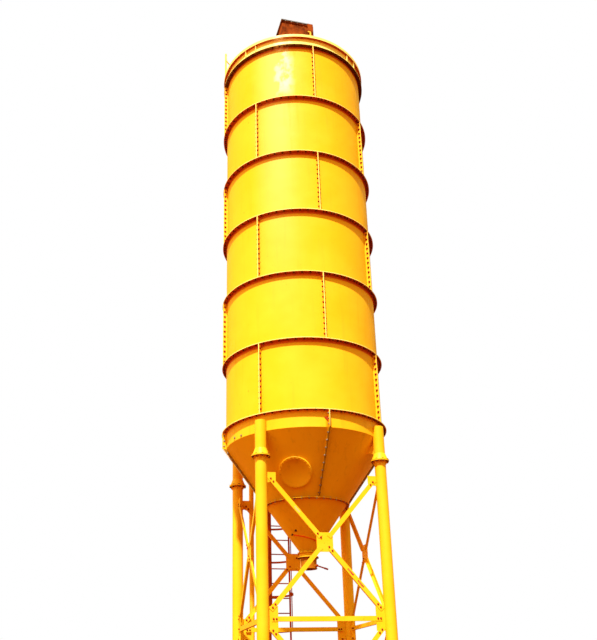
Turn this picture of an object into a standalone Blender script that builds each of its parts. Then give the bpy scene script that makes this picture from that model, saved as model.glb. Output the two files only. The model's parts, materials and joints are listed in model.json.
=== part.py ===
"""Bolted cement silo on four braced tubular legs.

Metres, +Z up. Azimuths are in degrees around the silo's upright axis: 0 faces
the front (-Y) and they grow towards +X. The world origin is on the ground,
under the middle of the whole outline, ladder cage included.
"""

import math

import bmesh
import bpy
from mathutils import Matrix, Vector

# Shell
WALL_RADIUS = 1.5
WALL = 0.006
FLANGE_PLATE = 0.008
FLANGE_WIDTH = 0.082
FLANGE_RADIUS = WALL_RADIUS + FLANGE_WIDTH
RIM_HEIGHT = 6.15
COURSES = 6
COURSE_PITCH = 1.3672
PANEL_STEPS = 12
ODD_SEAMS = (-77.3, 16.9, 107.0, 197.0)
EVEN_SEAMS = (-29.6, 64.3, 150.5, 240.5)
GAP = 0.0003

# Hopper
COLLAR_DROP = 0.305
CONE_APEX_DROP = 2.43
CONE_RATIO = WALL_RADIUS / (CONE_APEX_DROP - COLLAR_DROP)
JOINT_DROP = 1.38
JOINT_FLANGE_WIDTH = 0.06
SKIN_DEPTH = 0.25
OUTLET_NECK_DROP = 2.205
OUTLET_FLANGE_TOP_DROP = 2.235
OUTLET_FLANGE_DROP = 2.33
OUTLET_FLANGE_RADIUS = 0.19
OUTLET_BORE = 0.145
HATCH_AZIMUTH = -9.8
HATCH_DROP = 0.976
HATCH_RADIUS = 0.293
HATCH_RISE = 0.032
HATCH_DEPTH = 0.3 * HATCH_RADIUS

# Outlet valve
VALVE_RADIUS = 0.159
VALVE_DROP = 2.53
VALVE_AZIMUTH = 55.0
SHAFT_DROP = 2.485
SHAFT_RADIUS = 0.010
SHAFT_CLEARANCE = 0.0004
SHAFT_OVERHANG = 0.045
DISC_RADIUS = 0.136
DISC_THICKNESS = 0.008
HUB_SIZE = (0.045, 0.045, 0.024)
HUB_INSET = 0.014
LEVER_LENGTH = 0.34
LEVER_WIDTH = 0.024
LEVER_PLATE = 0.010
LEVER_DROOP = 5.0

# Top
RING_HEIGHT = 0.195
RING_RADIUS = 1.585
RING_WALL_RADIUS = 1.53
LIP_HEIGHT = 0.057
RING_GUSSETS = (-39.5, -29.5)
GUSSET_INSET = 0.009
ROOF_RADIUS = 1.57
ROOF_RIM = 0.12
ROOF_RISE = 0.30
CROWN_RADIUS = 0.46
POST_AZIMUTH = -84.9
POST_RADIUS = 1.545
POST_HEIGHT = 0.95
POST_SIDE = 0.04
STAY_TOP_DROP = 0.20
STAY_REACH = 0.455
STAY_FOOT_HEIGHT = 0.128
STAY_SIDE = 0.03
FILTER_AZIMUTH = 16.5
FILTER_SIDE = 0.60
FILTER_TOP = 10.15
LID_PLATE = 0.035
LID_OVERHANG = 0.015
FAN_WIDTH = 0.17
FAN_DEPTH = 0.59
FAN_HEIGHT = 0.62
COWL_RISE = 0.03
COWL_ROOT = 0.05
COWL_INSET = 0.005

# How deep pieces that are fused sink into each other
FUSED = 0.002

# Legs and stubs
LEG_AZIMUTHS = (-29.5, 60.5, 150.5, -119.5)
LEG_CIRCLE = 1.5517
LEG_RADIUS = 0.1015
LEG_SIDES = 16
STUB_TOP_DROP = 0.12
SKIRT_DROP = 0.635
LEG_FLANGE_TOP_DROP = 0.747
LEG_FLANGE_DROP = 0.775
LEG_FLANGE_RADIUS = 0.165
SKIRT_RADIUS = 0.148
LOWER_SKIRT_DROP = 0.86
FOOT_SIDE = 0.42
FOOT_PLATE = 0.02
FOOT_RIB_PLATE = 0.008
FOOT_RIB_INNER = 0.09
FOOT_RIB_OUTER = 0.195
FOOT_RIB_EDGE = 0.03
FOOT_RIB_TOP = 0.16
BRACKET_TOP_DROP = 0.40
BRACKET_LOW_DROP = 0.62
BRACKET_TOE_DROP = 0.58
BRACKET_SINK = 0.02

# Bracing, one flat frame between each two legs
FACE_DISTANCE = LEG_CIRCLE * math.cos(math.radians(45.0))
BRACE_CENTRE_DROP = 2.235
BEAM_DROP = 3.49
BRACE_SLOPE = 1.157
BRACE_START = 0.075
BRACE_END = FACE_DISTANCE - 0.135
BEAM_END = FACE_DISTANCE - 0.15
ANGLE_LEG = 0.08
ANGLE_BACK = 0.05
ANGLE_PLATE = 0.008
GUSSET_PLATE = 0.010
CENTRE_GUSSET_HALF = (0.145, 0.165)
GUSSET_TOP_DROP = 1.045
GUSSET_INNER = FACE_DISTANCE - 0.257
GUSSET_INNER_HEIGHT = 0.145
GUSSET_OUTER_HEIGHT = 0.185
BEAM_GUSSET_HALF = 0.2

# Ladder, cage, pipe and hose
LADDER_AZIMUTH = -161.3
LADDER_DISTANCE = 1.85
LADDER_WIDTH = 0.44
LADDER_BOTTOM = 0.32
LADDER_TOP = 15.55
FIRST_RUNG = LADDER_BOTTOM + 0.1
RUNG_PITCH = 0.29
RUNG_SIDE = 0.022
RAIL_DEPTH = 0.05
RAIL_PLATE = 0.010
LUG_LENGTH = LADDER_DISTANCE - WALL_RADIUS - 0.04
LUG_WIDTH = 0.04
LUG_PLATE = 0.01
CAGE_RADIUS = 0.35
CAGE_BOTTOM = 2.70
CAGE_HOOP_PITCH = 0.70
CAGE_STRAP = 0.04
CAGE_PLATE = 0.006
CAGE_UPRIGHTS = 3
CAGE_SPREAD = 0.93
CAGE_FACET = math.radians(30.0)
PIPE_PLACE = (-1.12, 1.30)
PIPE_RADIUS = 0.048
PIPE_BOTTOM = 1.0
PIPE_BEND = 0.28
PIPE_OVER_ROOF = 0.62
PIPE_ENTRY = 0.95
PIPE_BRACKET_DROP = 1.10
PIPE_BRACKET_HEIGHT = 0.15
HOSE_RADIUS = 0.008
HOSE_SEAT = 1.3 * HOSE_RADIUS
HOSE_AZIMUTHS = (-46.0, 40.0)
HOSE_DROPS = (1.945, 2.067)
HOSE_STEPS = 24

# The axis stands forward of the outline's middle, which the cage pulls back.
AXIS_Y = -0.361

YELLOW = (0.90, 0.50, 0.01, 1.0)
ORANGE = (0.72, 0.28, 0.01, 1.0)
RUST = (0.24, 0.09, 0.03, 1.0)
STEEL = (0.45, 0.45, 0.44, 1.0)
DARK = (0.06, 0.05, 0.05, 1.0)
RED = (0.70, 0.06, 0.02, 1.0)


def clear_scene():
    for thing in list(bpy.data.objects):
        bpy.data.objects.remove(thing, do_unlink=True)


def new_material(name, colour, roughness, metallic=0.0):
    material = bpy.data.materials.new(name)
    material.use_nodes = True
    shader = material.node_tree.nodes["Principled BSDF"]
    shader.inputs["Base Color"].default_value = colour
    shader.inputs["Roughness"].default_value = roughness
    shader.inputs["Metallic"].default_value = metallic
    return material


def polar(radius, azimuth, z):
    angle = math.radians(azimuth)
    return Vector((radius * math.sin(angle), -radius * math.cos(angle), z))


def below_rim(drop):
    return RIM_HEIGHT - drop


def cone_radius(z):
    return CONE_RATIO * (z - below_rim(CONE_APEX_DROP))


def finish(name, bm, material, axis=None, smooth=True):
    """Turn a bmesh into a named object that hangs on the silo's axis."""
    bmesh.ops.recalc_face_normals(bm, faces=bm.faces[:])
    mesh = bpy.data.meshes.new(name)
    bm.to_mesh(mesh)
    bm.free()
    if smooth:
        mesh.shade_smooth()
        mesh.set_sharp_from_angle(angle=math.radians(30.0))
    mesh.materials.append(material)
    thing = bpy.data.objects.new(name, mesh)
    bpy.context.scene.collection.objects.link(thing)
    thing.parent = axis
    return thing


def turn(outline, steps, centre=(0.0, 0.0), axis_at_ends=True):
    """Revolve (radius, z) points a full turn about an upright line."""
    bm = bmesh.new()
    points = [bm.verts.new((centre[0], centre[1] - r, z)) for r, z in outline]
    edges = [bm.edges.new(pair) for pair in zip(points, points[1:])]
    if not axis_at_ends:
        edges.append(bm.edges.new((points[-1], points[0])))
    bmesh.ops.spin(
        bm,
        geom=points + edges,
        cent=(centre[0], centre[1], 0.0),
        axis=(0.0, 0.0, 1.0),
        angle=2.0 * math.pi,
        steps=steps,
        use_merge=True,
    )
    bmesh.ops.remove_doubles(bm, verts=bm.verts[:], dist=0.00002)
    return bm


def sweep(outline, start, angle, steps):
    """Sweep a closed (radius, z) outline round the axis into a solid with flat ends."""
    bm = bmesh.new()
    points = [bm.verts.new(polar(r, start, z)) for r, z in outline]
    face = bm.faces.new(points)
    bmesh.ops.spin(
        bm,
        geom=[face] + list(face.edges) + points,
        cent=(0.0, 0.0, 0.0),
        axis=(0.0, 0.0, 1.0),
        angle=math.radians(angle),
        steps=steps,
    )
    bmesh.ops.recalc_face_normals(bm, faces=bm.faces[:])
    return bm


def along(line, z):
    """Radius of a (radius, z) line that falls from its first point, at a height."""
    for (r_top, z_top), (r_low, z_low) in zip(line, line[1:]):
        if z >= z_low - 0.000001:
            return r_top + (r_low - r_top) * (z_top - z) / (z_top - z_low)
    return line[-1][0]


def facet_radius(radius, sides, azimuth):
    """Distance from a many-sided bar's axis to its flat side, in one direction."""
    facet = 360.0 / sides
    flat = radius * math.cos(math.radians(0.5 * facet))
    return flat / math.cos(math.radians(azimuth % facet - 0.5 * facet))


def box(size, centre=(0.0, 0.0, 0.0)):
    bm = bmesh.new()
    place = Matrix.Translation(centre) @ Matrix.Diagonal((*size, 1.0))
    bmesh.ops.create_cube(bm, size=1.0, matrix=place)
    return bm


def extrude(bm, faces):
    """Extrude faces on the spot and return the new faces and the new points."""
    edges = {edge for face in faces for edge in face.edges}
    points = {vert for face in faces for vert in face.verts}
    grown = bmesh.ops.extrude_face_region(bm, geom=[*faces, *edges, *points])["geom"]
    new_faces = [item for item in grown if isinstance(item, bmesh.types.BMFace)]
    new_points = [item for item in grown if isinstance(item, bmesh.types.BMVert)]
    return new_faces, new_points


def prism(outline, direction):
    """Extrude a flat outline, given as 3-D points, along a direction."""
    bm = bmesh.new()
    face = bm.faces.new([bm.verts.new(point) for point in outline])
    _, moved = extrude(bm, [face])
    bmesh.ops.translate(bm, verts=moved, vec=direction)
    return bm


def helper(bm):
    """An object that only lends its shape to a Boolean."""
    bmesh.ops.recalc_face_normals(bm, faces=bm.faces[:])
    mesh = bpy.data.meshes.new("helper")
    bm.to_mesh(mesh)
    bm.free()
    return bpy.data.objects.new("helper", mesh)


def combine(thing, helpers, operation):
    """Join helpers to an object, or cut it by them, and keep the result as its mesh."""
    group = bpy.data.collections.new("helpers")
    bpy.context.scene.collection.children.link(group)
    for item in helpers:
        group.objects.link(item)
        item.parent = thing.parent
    modifier = thing.modifiers.new(operation.lower(), "BOOLEAN")
    modifier.operation = operation
    modifier.operand_type = "COLLECTION"
    modifier.collection = group
    shaped = thing.evaluated_get(bpy.context.evaluated_depsgraph_get())
    mesh = bpy.data.meshes.new_from_object(shaped)
    thing.modifiers.clear()
    thing.data = mesh
    for item in helpers:
        bpy.data.objects.remove(item, do_unlink=True)
    bpy.data.collections.remove(group)


def pan(name, wall_line, rim_line, start, end, material, axis):
    """A curved sheet with a flange turned outwards on all four of its edges.

    The full block is swept first. Its outer face is then inset by the flange
    plate and pushed in until it lies on the wall.
    """
    spare = math.degrees(0.5 * GAP / wall_line[-1][0])
    inner_line = [(r - WALL, z) for r, z in reversed(wall_line)]
    bm = sweep(inner_line + list(rim_line), start + spare, end - start - 2.0 * spare, PANEL_STEPS)
    outer = [
        face
        for face in bm.faces
        if all(abs(v.co.xy.length - along(rim_line, v.co.z)) < 0.0001 for v in face.verts)
    ]
    bmesh.ops.inset_region(bm, faces=outer, thickness=FLANGE_PLATE, use_even_offset=True)
    _, pushed = extrude(bm, outer)
    for vert in pushed:
        vert.co.xy *= along(wall_line, vert.co.z) / vert.co.xy.length
    return finish(name, bm, material, axis)


def seam_pairs(seams):
    return list(zip(seams, seams[1:] + (seams[0] + 360.0,)))


def build_courses(material, axis):
    """Six rings of four flanged sheets, counted from the top, with staggered seams."""
    for course in range(1, COURSES + 1):
        low = RIM_HEIGHT + (COURSES - course) * COURSE_PITCH + FLANGE_PLATE + 0.5 * GAP
        high = low + COURSE_PITCH - GAP
        wall_line = ((WALL_RADIUS, high), (WALL_RADIUS, low))
        rim_line = ((FLANGE_RADIUS, high), (FLANGE_RADIUS, low))
        seams = ODD_SEAMS if course % 2 else EVEN_SEAMS
        for number, (start, end) in enumerate(seam_pairs(seams), 1):
            pan(f"course_{course}_panel_{number}", wall_line, rim_line, start, end, material, axis)


def hopper_lines():
    """Wall and flange-edge lines of the collar with the upper cone."""
    top = RIM_HEIGHT + FLANGE_PLATE - 0.5 * GAP
    bend = below_rim(COLLAR_DROP)
    joint = below_rim(JOINT_DROP)
    low_radius = cone_radius(joint)
    wall_line = ((WALL_RADIUS, top), (WALL_RADIUS, bend), (low_radius, joint))
    rim_line = ((FLANGE_RADIUS, top), (FLANGE_RADIUS, bend), (low_radius + JOINT_FLANGE_WIDTH, joint))
    return wall_line, rim_line


def build_hopper(material, axis):
    wall_line, rim_line = hopper_lines()
    for number, (start, end) in enumerate(seam_pairs(ODD_SEAMS), 1):
        pan(f"hopper_panel_{number}", wall_line, rim_line, start, end, material, axis)


def build_lower_cone(material, axis):
    """Seamed cone that ends in a short neck and the outlet flange."""
    top = below_rim(JOINT_DROP) - GAP
    neck = below_rim(OUTLET_NECK_DROP)
    neck_radius = cone_radius(neck)
    ring_top = below_rim(OUTLET_FLANGE_TOP_DROP)
    ring_low = below_rim(OUTLET_FLANGE_DROP)
    outline = (
        (cone_radius(top) - WALL, top),
        (cone_radius(top) + JOINT_FLANGE_WIDTH, top),
        (cone_radius(top) + JOINT_FLANGE_WIDTH, top - FLANGE_PLATE),
        (cone_radius(top - FLANGE_PLATE), top - FLANGE_PLATE),
        (neck_radius, neck),
        (neck_radius, ring_top),
        (OUTLET_FLANGE_RADIUS, ring_top),
        (OUTLET_FLANGE_RADIUS, ring_low),
        (OUTLET_BORE, ring_low),
        (OUTLET_BORE, neck),
    )
    finish("lower_cone", turn(outline, 36, axis_at_ends=False), material, axis)


def hopper_skin(azimuth):
    """The space inside the hopper's outer surface, with the gap that seated pieces keep."""
    wall_line, _ = hopper_lines()
    first = ODD_SEAMS[0]
    turned = first + (azimuth - first) % 360.0
    start, end = next(pair for pair in seam_pairs(ODD_SEAMS) if pair[0] < turned < pair[1])
    outline = [(r + GAP, z) for r, z in wall_line]
    inner = [(r - SKIN_DEPTH, z) for r, z in reversed(wall_line)]
    return helper(sweep(outline + inner, start, end - start, PANEL_STEPS))


def build_hatch(material, axis):
    """Round inspection cover, on a neck that is cut to the cone."""
    z = below_rim(HATCH_DROP)
    lean = math.radians(90.0) + math.atan(CONE_RATIO)
    outward = Matrix.Rotation(math.radians(HATCH_AZIMUTH), 4, "Z") @ Matrix.Rotation(lean, 4, "X")
    bm = bmesh.new()
    place = Matrix.Translation(polar(cone_radius(z), HATCH_AZIMUTH, z)) @ outward
    bmesh.ops.create_cone(
        bm,
        cap_ends=True,
        segments=24,
        radius1=HATCH_RADIUS,
        radius2=HATCH_RADIUS,
        depth=HATCH_DEPTH,
        matrix=place @ Matrix.Translation((0.0, 0.0, HATCH_RISE - 0.5 * HATCH_DEPTH)),
    )
    hatch = finish("inspection_hatch", bm, material, axis)
    combine(hatch, [hopper_skin(HATCH_AZIMUTH)], "DIFFERENCE")


def build_valve(material, axis):
    """Butterfly valve body, bored for its shaft."""
    top = below_rim(OUTLET_FLANGE_DROP) - GAP
    low = below_rim(VALVE_DROP)
    outline = (
        (OUTLET_BORE, top),
        (VALVE_RADIUS, top),
        (VALVE_RADIUS, low),
        (OUTLET_BORE, low),
    )
    body = finish("outlet_valve", turn(outline, 32, axis_at_ends=False), material, axis)
    bore = bmesh.new()
    bmesh.ops.create_cone(
        bore,
        cap_ends=True,
        segments=16,
        radius1=SHAFT_RADIUS + SHAFT_CLEARANCE,
        radius2=SHAFT_RADIUS + SHAFT_CLEARANCE,
        depth=3.0 * VALVE_RADIUS,
        matrix=shaft_frame(),
    )
    combine(body, [helper(bore)], "DIFFERENCE")


def shaft_frame():
    """Z along the valve's shaft, outwards, from the middle of the bore."""
    return (
        Matrix.Translation((0.0, 0.0, below_rim(SHAFT_DROP)))
        @ Matrix.Rotation(math.radians(VALVE_AZIMUTH), 4, "Z")
        @ Matrix.Rotation(math.radians(90.0), 4, "X")
    )


def build_valve_lever(material, axis):
    """Disc, shaft and hand lever turn together about the shaft's own axis."""
    pivot = bpy.data.objects.new("valve_pivot", None)
    bpy.context.scene.collection.objects.link(pivot)
    pivot.parent = axis
    pivot.matrix_local = shaft_frame()
    shaft = bmesh.new()
    reach = VALVE_RADIUS + SHAFT_OVERHANG
    bmesh.ops.create_cone(
        shaft,
        cap_ends=True,
        segments=16,
        radius1=SHAFT_RADIUS,
        radius2=SHAFT_RADIUS,
        depth=reach + VALVE_RADIUS,
        matrix=Matrix.Translation((0.0, 0.0, 0.5 * (reach - VALVE_RADIUS))),
    )
    lever = finish("valve_lever", shaft, material, pivot)
    disc = bmesh.new()
    bmesh.ops.create_cone(
        disc,
        cap_ends=True,
        segments=24,
        radius1=DISC_RADIUS,
        radius2=DISC_RADIUS,
        depth=DISC_THICKNESS,
        matrix=Matrix.Rotation(math.radians(90.0), 4, "X"),
    )
    hub = box(HUB_SIZE, (0.0, 0.0, reach - HUB_INSET))
    droop = Matrix.Rotation(math.radians(-LEVER_DROOP), 4, "Z")
    arm = box((LEVER_LENGTH, LEVER_WIDTH, LEVER_PLATE), (0.5 * LEVER_LENGTH, 0.0, reach - HUB_INSET))
    bmesh.ops.transform(arm, matrix=droop, verts=arm.verts[:])
    combine(lever, [helper(disc), helper(hub), helper(arm)], "UNION")


def build_roof_ring(material, axis):
    """Short top ring with its bolting flange, rim flange, lip and paired gussets."""
    low = RIM_HEIGHT + COURSES * COURSE_PITCH + FLANGE_PLATE + 0.5 * GAP
    high = low + RING_HEIGHT
    outline = (
        (WALL_RADIUS - WALL, low),
        (FLANGE_RADIUS, low),
        (FLANGE_RADIUS, low + FLANGE_PLATE),
        (RING_WALL_RADIUS, low + FLANGE_PLATE),
        (RING_WALL_RADIUS, high),
        (RING_RADIUS, high),
        (RING_RADIUS, high + FLANGE_PLATE + LIP_HEIGHT),
        (RING_RADIUS - FLANGE_PLATE, high + FLANGE_PLATE + LIP_HEIGHT),
        (RING_RADIUS - FLANGE_PLATE, high + FLANGE_PLATE),
        (WALL_RADIUS - WALL, high + FLANGE_PLATE),
        (WALL_RADIUS - WALL, high),
        (RING_WALL_RADIUS - WALL, high),
        (RING_WALL_RADIUS - WALL, low + FLANGE_PLATE),
        (WALL_RADIUS - WALL, low + FLANGE_PLATE),
    )
    ring = finish("roof_ring", turn(outline, 48, axis_at_ends=False), material, axis)
    plates = []
    sink = 0.5 * WALL
    inner = RING_WALL_RADIUS - sink
    outer = FLANGE_RADIUS - GUSSET_INSET
    for quarter in range(4):
        for azimuth in RING_GUSSETS:
            plate = box(
                (FLANGE_PLATE, outer - inner, RING_HEIGHT - FLANGE_PLATE + 2.0 * sink),
                (0.0, -0.5 * (outer + inner), 0.5 * (low + FLANGE_PLATE + high)),
            )
            turned = Matrix.Rotation(math.radians(azimuth + 90.0 * quarter), 4, "Z")
            bmesh.ops.transform(plate, matrix=turned, verts=plate.verts[:])
            plates.append(helper(plate))
    combine(ring, plates, "UNION")


def roof_seat():
    ring_low = RIM_HEIGHT + COURSES * COURSE_PITCH + FLANGE_PLATE + 0.5 * GAP
    return ring_low + RING_HEIGHT + FLANGE_PLATE + GAP


def build_roof(material, axis):
    """Shallow cone with a flat rim on the ring and a flat crown."""
    seat = roof_seat()
    shoulder = ROOF_RADIUS - ROOF_RIM
    crown = seat + ROOF_RISE
    outline = (
        (0.0, crown),
        (CROWN_RADIUS, crown),
        (shoulder, seat),
        (ROOF_RADIUS, seat),
        (ROOF_RADIUS, seat + WALL),
        (shoulder, seat + WALL),
        (CROWN_RADIUS, crown + WALL),
        (0.0, crown + WALL),
    )
    finish("roof", turn(outline, 48), material, axis)


def build_roof_post(material, axis):
    """Post on the roof's rim, with a stay that runs down to the roof."""
    foot = roof_seat() + WALL + GAP
    bar = box((POST_SIDE, POST_SIDE, POST_HEIGHT), (0.0, 0.0, 0.5 * POST_HEIGHT))
    post = finish("roof_post", bar, material, axis)
    top = Vector((0.0, 0.0, POST_HEIGHT - STAY_TOP_DROP))
    run = Vector((0.0, STAY_REACH, STAY_FOOT_HEIGHT)) - top
    across = Vector((0.5 * STAY_SIDE, 0.0, 0.0))
    thick = Vector((0.0, 0.0, STAY_SIDE))
    stay = prism([top - across, top + across, top + across + thick, top - across + thick], run)
    combine(post, [helper(stay)], "UNION")
    post.location = polar(POST_RADIUS, POST_AZIMUTH, foot)
    post.rotation_euler = (0.0, 0.0, math.radians(POST_AZIMUTH))


def build_filter(housing_material, lid_material, axis):
    """Dust filter on the roof's crown: housing, lid, and the fan box with its cowl on one side."""
    low = roof_seat() + ROOF_RISE + WALL + GAP
    lid_low = RIM_HEIGHT + FILTER_TOP - LID_PLATE
    height = lid_low - GAP - low
    turned = (0.0, 0.0, math.radians(FILTER_AZIMUTH))
    body = box((FILTER_SIDE, FILTER_SIDE, height), (0.0, 0.0, low + 0.5 * height))
    housing = finish("filter_housing", body, housing_material, axis)
    fan_x = 0.5 * (FILTER_SIDE + FAN_WIDTH) - FUSED
    fan_z = lid_low - GAP - 0.5 * FAN_HEIGHT
    fan = box((FAN_WIDTH, FAN_DEPTH, FAN_HEIGHT), (fan_x, 0.0, fan_z))
    cowl_inner = 0.5 * FILTER_SIDE + LID_OVERHANG + GAP
    cowl_outer = 0.5 * FILTER_SIDE + FAN_WIDTH - FUSED - COWL_INSET
    cowl_low = lid_low - COWL_ROOT
    cowl_high = lid_low + LID_PLATE + COWL_RISE
    cowl = box(
        (cowl_outer - cowl_inner, FAN_DEPTH - 2.0 * COWL_INSET, cowl_high - cowl_low),
        (0.5 * (cowl_outer + cowl_inner), 0.0, 0.5 * (cowl_high + cowl_low)),
    )
    combine(housing, [helper(fan), helper(cowl)], "UNION")
    housing.rotation_euler = turned
    lid_side = FILTER_SIDE + 2.0 * LID_OVERHANG
    lid = box((lid_side, lid_side, LID_PLATE), (0.0, 0.0, lid_low + 0.5 * LID_PLATE))
    finish("filter_lid", lid, lid_material, axis).rotation_euler = turned


def build_stubs(material, axis):
    """Leg stubs on the collar, each cut to the hopper and held by a small bracket."""
    low = leg_split() + 0.5 * GAP
    outline = (
        (0.0, below_rim(STUB_TOP_DROP)),
        (LEG_RADIUS, below_rim(STUB_TOP_DROP)),
        (LEG_RADIUS, below_rim(SKIRT_DROP)),
        (SKIRT_RADIUS, below_rim(LEG_FLANGE_TOP_DROP)),
        (LEG_FLANGE_RADIUS, below_rim(LEG_FLANGE_TOP_DROP)),
        (LEG_FLANGE_RADIUS, low),
        (0.0, low),
    )
    bracket_top = below_rim(BRACKET_TOP_DROP)
    toe = below_rim(BRACKET_TOE_DROP)
    outer = LEG_CIRCLE - LEG_RADIUS + 5.0 * FUSED
    corners = (
        (outer, bracket_top),
        (outer, below_rim(BRACKET_LOW_DROP)),
        (cone_radius(toe) - BRACKET_SINK, toe),
        (cone_radius(bracket_top) - BRACKET_SINK, bracket_top),
    )
    half = 0.5 * FLANGE_PLATE
    for number, azimuth in enumerate(LEG_AZIMUTHS, 1):
        turned = Matrix.Rotation(math.radians(azimuth), 4, "Z")
        bm = turn(outline, LEG_SIDES, (0.0, -LEG_CIRCLE))
        bmesh.ops.transform(bm, matrix=turned, verts=bm.verts[:])
        stub = finish(f"leg_stub_{number}", bm, material, axis)
        bracket = prism([Vector((-half, -r, z)) for r, z in corners], Vector((2.0 * half, 0.0, 0.0)))
        bmesh.ops.transform(bracket, matrix=turned, verts=bracket.verts[:])
        combine(stub, [helper(bracket)], "UNION")
        combine(stub, [hopper_skin(azimuth)], "DIFFERENCE")


def leg_split():
    """Height at which the flanges of a stub and its leg meet."""
    return below_rim(0.5 * (LEG_FLANGE_TOP_DROP + LEG_FLANGE_DROP))


def foot_rib(quarter):
    """Plate from the leg down to the foot plate, turned by quarters."""
    low = 0.75 * FOOT_PLATE
    half = 0.5 * FOOT_RIB_PLATE
    corners = (
        (FOOT_RIB_INNER, low),
        (FOOT_RIB_OUTER, low),
        (FOOT_RIB_OUTER, FOOT_RIB_EDGE),
        (FOOT_RIB_INNER, FOOT_RIB_TOP),
    )
    rib = prism([Vector((-half, -r, z)) for r, z in corners], Vector((2.0 * half, 0.0, 0.0)))
    turned = Matrix.Rotation(math.radians(90.0 * quarter), 4, "Z")
    bmesh.ops.transform(rib, matrix=turned, verts=rib.verts[:])
    return rib


def build_legs(material, axis):
    """Tubular legs with a skirted flange on top and a ribbed foot plate."""
    top = leg_split() - 0.5 * GAP
    outline = (
        (0.0, 0.5 * FOOT_PLATE),
        (LEG_RADIUS, 0.5 * FOOT_PLATE),
        (LEG_RADIUS, below_rim(LOWER_SKIRT_DROP)),
        (SKIRT_RADIUS, below_rim(LEG_FLANGE_DROP)),
        (LEG_FLANGE_RADIUS, below_rim(LEG_FLANGE_DROP)),
        (LEG_FLANGE_RADIUS, top),
        (0.0, top),
    )
    leg_mesh = None
    for number, azimuth in enumerate(LEG_AZIMUTHS, 1):
        if leg_mesh is None:
            leg = finish(f"leg_{number}", turn(outline, LEG_SIDES), material, axis)
            foot = box((FOOT_SIDE, FOOT_SIDE, FOOT_PLATE), (0.0, 0.0, 0.5 * FOOT_PLATE))
            parts = [helper(foot)] + [helper(foot_rib(quarter)) for quarter in range(4)]
            combine(leg, parts, "UNION")
            leg_mesh = leg.data
        else:
            leg = bpy.data.objects.new(f"leg_{number}", leg_mesh)
            bpy.context.scene.collection.objects.link(leg)
            leg.parent = axis
        leg.location = polar(LEG_CIRCLE, azimuth, 0.0)
        leg.rotation_euler = (0.0, 0.0, math.radians(azimuth))


def angle_bar(start, end):
    """Angle section from one point to another in the bracing's plane."""
    run = end - start
    side = Vector((-run.z, 0.0, run.x)).normalized()
    if side.z < 0.0:
        side = -side
    back = Vector((0.0, 1.0, 0.0))
    face = 0.5 * (FUSED - GUSSET_PLATE)
    half = 0.5 * ANGLE_LEG
    corners = (
        (-half, face - ANGLE_PLATE),
        (half, face - ANGLE_PLATE),
        (half, face),
        (ANGLE_PLATE - half, face),
        (ANGLE_PLATE - half, face + ANGLE_BACK - ANGLE_PLATE),
        (-half, face + ANGLE_BACK - ANGLE_PLATE),
    )
    return prism([start + side * u + back * v for u, v in corners], run)


def gusset(corners):
    half = 0.5 * GUSSET_PLATE
    return prism([Vector((x, -half, z)) for x, z in corners], Vector((0.0, 2.0 * half, 0.0)))


def build_bracing(material, axis):
    """Two crossed tiers with a beam between them, joined by gusset plates, on each face."""
    centre = below_rim(BRACE_CENTRE_DROP)
    beam = below_rim(BEAM_DROP)
    lower_centre = 2.0 * beam - centre
    parts = []
    for middle in (centre, lower_centre):
        for left in (-1.0, 1.0):
            for rise in (-BRACE_SLOPE, BRACE_SLOPE):
                near = Vector((BRACE_START * left, 0.0, middle + BRACE_START * rise))
                far = Vector((BRACE_END * left, 0.0, middle + BRACE_END * rise))
                parts.append(helper(angle_bar(near, far)))
    parts.append(helper(gusset(rectangle(0.0, lower_centre, *CENTRE_GUSSET_HALF))))
    parts.append(helper(angle_bar(Vector((-BEAM_END, 0.0, beam)), Vector((BEAM_END, 0.0, beam)))))
    top = below_rim(GUSSET_TOP_DROP)
    for side in (-1.0, 1.0):
        outer = side * (FACE_DISTANCE - LEG_RADIUS - GAP)
        inner = side * GUSSET_INNER
        for end, downward in ((top, -1.0), (2.0 * beam - top, 1.0)):
            inner_end = end + downward * GUSSET_INNER_HEIGHT
            outer_end = end + downward * GUSSET_OUTER_HEIGHT
            parts.append(helper(gusset(((outer, end), (inner, end), (inner, inner_end), (outer, outer_end)))))
        middle = 0.5 * (outer + inner)
        parts.append(helper(gusset(rectangle(middle, beam, 0.5 * abs(outer - inner), BEAM_GUSSET_HALF))))
    frame_mesh = None
    for number, azimuth in enumerate(LEG_AZIMUTHS, 1):
        if frame_mesh is None:
            crossing = gusset(rectangle(0.0, centre, *CENTRE_GUSSET_HALF))
            frame = finish(f"bracing_{number}", crossing, material, axis, smooth=False)
            combine(frame, parts, "UNION")
            frame_mesh = frame.data
        else:
            frame = bpy.data.objects.new(f"bracing_{number}", frame_mesh)
            bpy.context.scene.collection.objects.link(frame)
            frame.parent = axis
        frame.location = polar(FACE_DISTANCE, azimuth + 45.0, 0.0)
        frame.rotation_euler = (0.0, 0.0, math.radians(azimuth + 45.0))


def rectangle(x, z, half_width, half_height):
    return (
        (x - half_width, z - half_height),
        (x + half_width, z - half_height),
        (x + half_width, z + half_height),
        (x - half_width, z + half_height),
    )


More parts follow.
